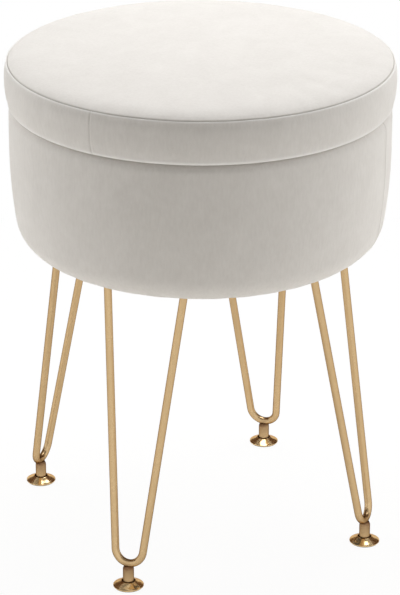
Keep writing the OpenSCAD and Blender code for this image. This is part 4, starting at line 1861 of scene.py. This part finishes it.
@dataclass
class Studio:
    """White floor and surroundings, one soft box overhead, dark cards, and the camera."""

    azimuth: float = math.radians(22.6)
    pitch: float = math.radians(22.45)
    distance: float = 2.807
    roll: float = math.radians(0.15)
    target_z: float = 0.2173
    focal_px: float = 3060.0
    frame_px: float = 595.0
    sensor: float = 36.0
    sky_light: float = 1.50
    floor_r: float = 7.0
    floor_colour: Colour = (0.88, 0.88, 0.87)
    floor_glow: Colour = (0.20, 0.185, 0.165)
    shadow_r: tuple[float, float] = (0.28, 0.8)
    shadow_share: float = 0.08
    card_r: float = 3.4
    card_high: float = 5.4
    back_high: float = 2.6
    card_grey: Colour = (0.28, 0.272, 0.263)
    card_brown: Colour = (0.15, 0.085, 0.05)
    card_lift: float = 0.75
    ceiling_r: float = 2.0
    ceiling_z: float = 3.2
    box_size: float = 0.8
    box_z: float = 1.5
    box_away: float = 0.5
    box_right: float = 0.1
    box_light: float = 4.1

    @property
    def back(self) -> Vector:
        """Direction from the target to the camera."""
        return Vector(
            (
                math.sin(self.azimuth) * math.cos(self.pitch),
                -math.cos(self.azimuth) * math.cos(self.pitch),
                math.sin(self.pitch),
            )
        )

    def camera(self) -> None:
        """Sets up the camera at the photograph's angle."""
        data = bpy.data.cameras.new("camera")
        data.sensor_width = self.sensor
        data.lens = self.focal_px * self.sensor / self.frame_px
        data.clip_end = 100.0
        camera = bpy.data.objects.new("camera", data)
        camera.location = Vector((0, 0, self.target_z)) + self.back * self.distance
        turn = self.back.to_track_quat("Z", "Y").to_matrix() @ Matrix.Rotation(self.roll, 3, "Z")
        camera.rotation_euler = turn.to_euler()
        bpy.context.scene.collection.objects.link(camera)
        bpy.context.scene.camera = camera

    def world(self) -> None:
        """Surrounds the scene with plain white, a little stronger for the rays that light the object."""
        sky = Sky("studio")
        strength = self.sky_light - (self.sky_light - 1.0) * sky.seen()
        shader = sky.node("ShaderNodeBackground", {}, {"Color": (1.0, 1.0, 1.0, 1.0), "Strength": strength})
        sky.end(shader.outputs[0])
        bpy.context.scene.world = sky.world
        bpy.context.scene.view_settings.view_transform = "Standard"

    def soft_box(self) -> None:
        """Hangs a square soft box over the object, a little behind it."""
        data = bpy.data.lights.new("soft_box", "AREA")
        data.shape = "SQUARE"
        data.size = self.box_size
        data.energy = self.box_light * math.pi * self.box_size**2
        lamp = bpy.data.objects.new("soft_box", data)
        lamp.location = (
            self.box_right * math.cos(self.azimuth) - self.box_away * math.sin(self.azimuth),
            self.box_right * math.sin(self.azimuth) + self.box_away * math.cos(self.azimuth),
            self.box_z,
        )
        lamp.rotation_euler = (0, 0, self.azimuth)
        lamp.visible_camera = False
        bpy.context.scene.collection.objects.link(lamp)

    def floor(self) -> None:
        """Lays the white floor, which can't be seen from below."""
        shape = Shape()
        bmesh.ops.create_circle(shape.mesh, cap_ends=True, segments=64, radius=self.floor_r)
        recipe = Recipe("white_floor")
        diffuse = recipe.node("ShaderNodeBsdfDiffuse", {}, {"Color": (*self.floor_colour, 1.0)})
        bounce = recipe.node("ShaderNodeEmission", {}, {"Color": (*self.floor_glow, 1.0), "Strength": 1.0})
        plain = recipe.node("ShaderNodeAddShader", {}, {0: diffuse.outputs[0], 1: bounce.outputs[0]})
        glow = recipe.node("ShaderNodeEmission", {}, {"Color": (1.0, 1.0, 1.0, 1.0), "Strength": 1.0})
        away = recipe.node("ShaderNodeVectorMath", {"operation": "LENGTH"}, {0: recipe.place()})
        near = 1.0 - Value(recipe, away.outputs["Value"]).between(*self.shadow_r)
        shown = recipe.seen(0.3) * (1.0 - near * self.shadow_share)
        lit = recipe.node("ShaderNodeMixShader", {}, {0: shown, 1: plain.outputs[0], 2: glow.outputs[0]})
        clear = recipe.node("ShaderNodeBsdfTransparent", {}, {})
        under = recipe.node("ShaderNodeNewGeometry", {}, {}).outputs["Backfacing"]
        surface = recipe.node("ShaderNodeMixShader", {}, {0: under, 1: lit.outputs[0], 2: clear.outputs[0]})
        recipe.end(surface.outputs[0])
        self._stand(shape, "floor", recipe.material)

    def cards(self) -> None:
        """Stands cards round the object: grey in front and behind, and a brown one that metal mirrors."""
        high = (self.card_r, 0.0, self.card_high)
        low = (self.card_r, 0.0, self.back_high)
        brown = (0.75 * self.card_r, self.card_lift, 0.7 * self.card_high)
        front = self._card("front_card", high, (-80.0, 70.0), self.card_grey)
        back = self._card("back_card", low, (140.0, 220.0), self.card_grey)
        rear = self._card("rear_card", brown, (100.0, 285.0), self.card_brown)
        rear.visible_diffuse = False
        rear.visible_shadow = False
        for card in (front, back):
            card.visible_glossy = False
        shape = Shape()
        bmesh.ops.create_circle(shape.mesh, cap_ends=True, segments=48, radius=self.ceiling_r)
        shape.move(Matrix.Translation((0, 0, self.ceiling_z)))
        ceiling = self._stand(shape, "ceiling_card", front.data.materials[0])
        ceiling.visible_camera = False

    def _card(
        self, name: str, reach: tuple[float, float, float], turns: tuple[float, float], colour: Colour
    ) -> bpy.types.Object:
        """Stands a curved card round the object, which the camera doesn't see.

        Args:
            name: Name of the card.
            reach: Its distance from the object and the heights of its lower and upper edge.
            turns: Where it starts and ends, in degrees from the camera's side, rising to the right.
            colour: Its colour.

        Returns:
            The card.
        """
        shape = Shape()
        verts = [shape.mesh.verts.new((reach[0], 0, z)) for z in reach[1:]]
        edge = shape.mesh.edges.new(verts)
        bmesh.ops.spin(
            shape.mesh, geom=[*verts, edge], cent=(0, 0, 0), axis=(0, 0, 1),
            angle=math.radians(turns[1] - turns[0]), steps=32,
        )
        shape.move(Matrix.Rotation(self.azimuth - math.pi / 2 + math.radians(turns[0]), 4, "Z"))
        recipe = Recipe(f"{name}_paint")
        shader = recipe.node("ShaderNodeBsdfDiffuse", {}, {"Color": (*colour, 1.0)})
        recipe.end(shader.outputs[0])
        card = self._stand(shape, name, recipe.material)
        card.visible_camera = False
        return card

    def _stand(self, shape: Shape, name: str, material: bpy.types.Material) -> bpy.types.Object:
        """Makes a stage object.

        Args:
            shape: Its mesh.
            name: Its name.
            material: Its material.

        Returns:
            The object.
        """
        data = bpy.data.meshes.new(name)
        shape.mesh.to_mesh(data)
        shape.mesh.free()
        data.materials.append(material)
        thing = bpy.data.objects.new(name, data)
        bpy.context.scene.collection.objects.link(thing)
        return thing

    def build(self) -> None:
        """Builds the studio."""
        self.camera()
        self.world()
        self.soft_box()
        self.floor()
        self.cards()


def main() -> None:
    """Builds the studio and every piece of the ottoman."""
    logging.basicConfig(level=logging.INFO, format="%(message)s")
    Studio().build()
    levels = Levels.read()
    looks = Finishes()
    looks.dress_nodes()
    lid = Lid(levels, looks)
    lid.cushion()
    lid.disc_cloth()
    drum = Drum(levels, looks)
    drum.wall()
    drum.lining()
    drum.mat()
    drum.dust_cloth()
    staples = Staples(looks)
    staples.ring(
        "lid_staple_ring", Body.LID,
        round_ring(24, mix(lid.levels.disc_r + lid.hem_gap, levels.board_r, 0.5), levels.lid_low),
        ["lid_staples"],
    )
    between = math.pi / 24
    outwards = Matrix.Rotation(math.pi / 2, 4, "Y")
    in_mouth = round_ring(24, drum.mouth_r, levels.rim - 22 * MM, between)
    staples.ring(
        "drum_staple_rings", Body.DRUM,
        round_ring(12, levels.cloth_r - 2.2 * MM, levels.cloth_low)
        + round_ring(24, drum.corner_c[0] - 8.5 * MM, levels.underside, between)
        + [place @ outwards for place in in_mouth],
        ["drum_staples"],
    )
    for side, degrees in (("front", -90), ("right", 0), ("back", 90), ("left", 180)):
        Leg(side, math.radians(degrees), looks).build()


if __name__ == "__main__":
    main()
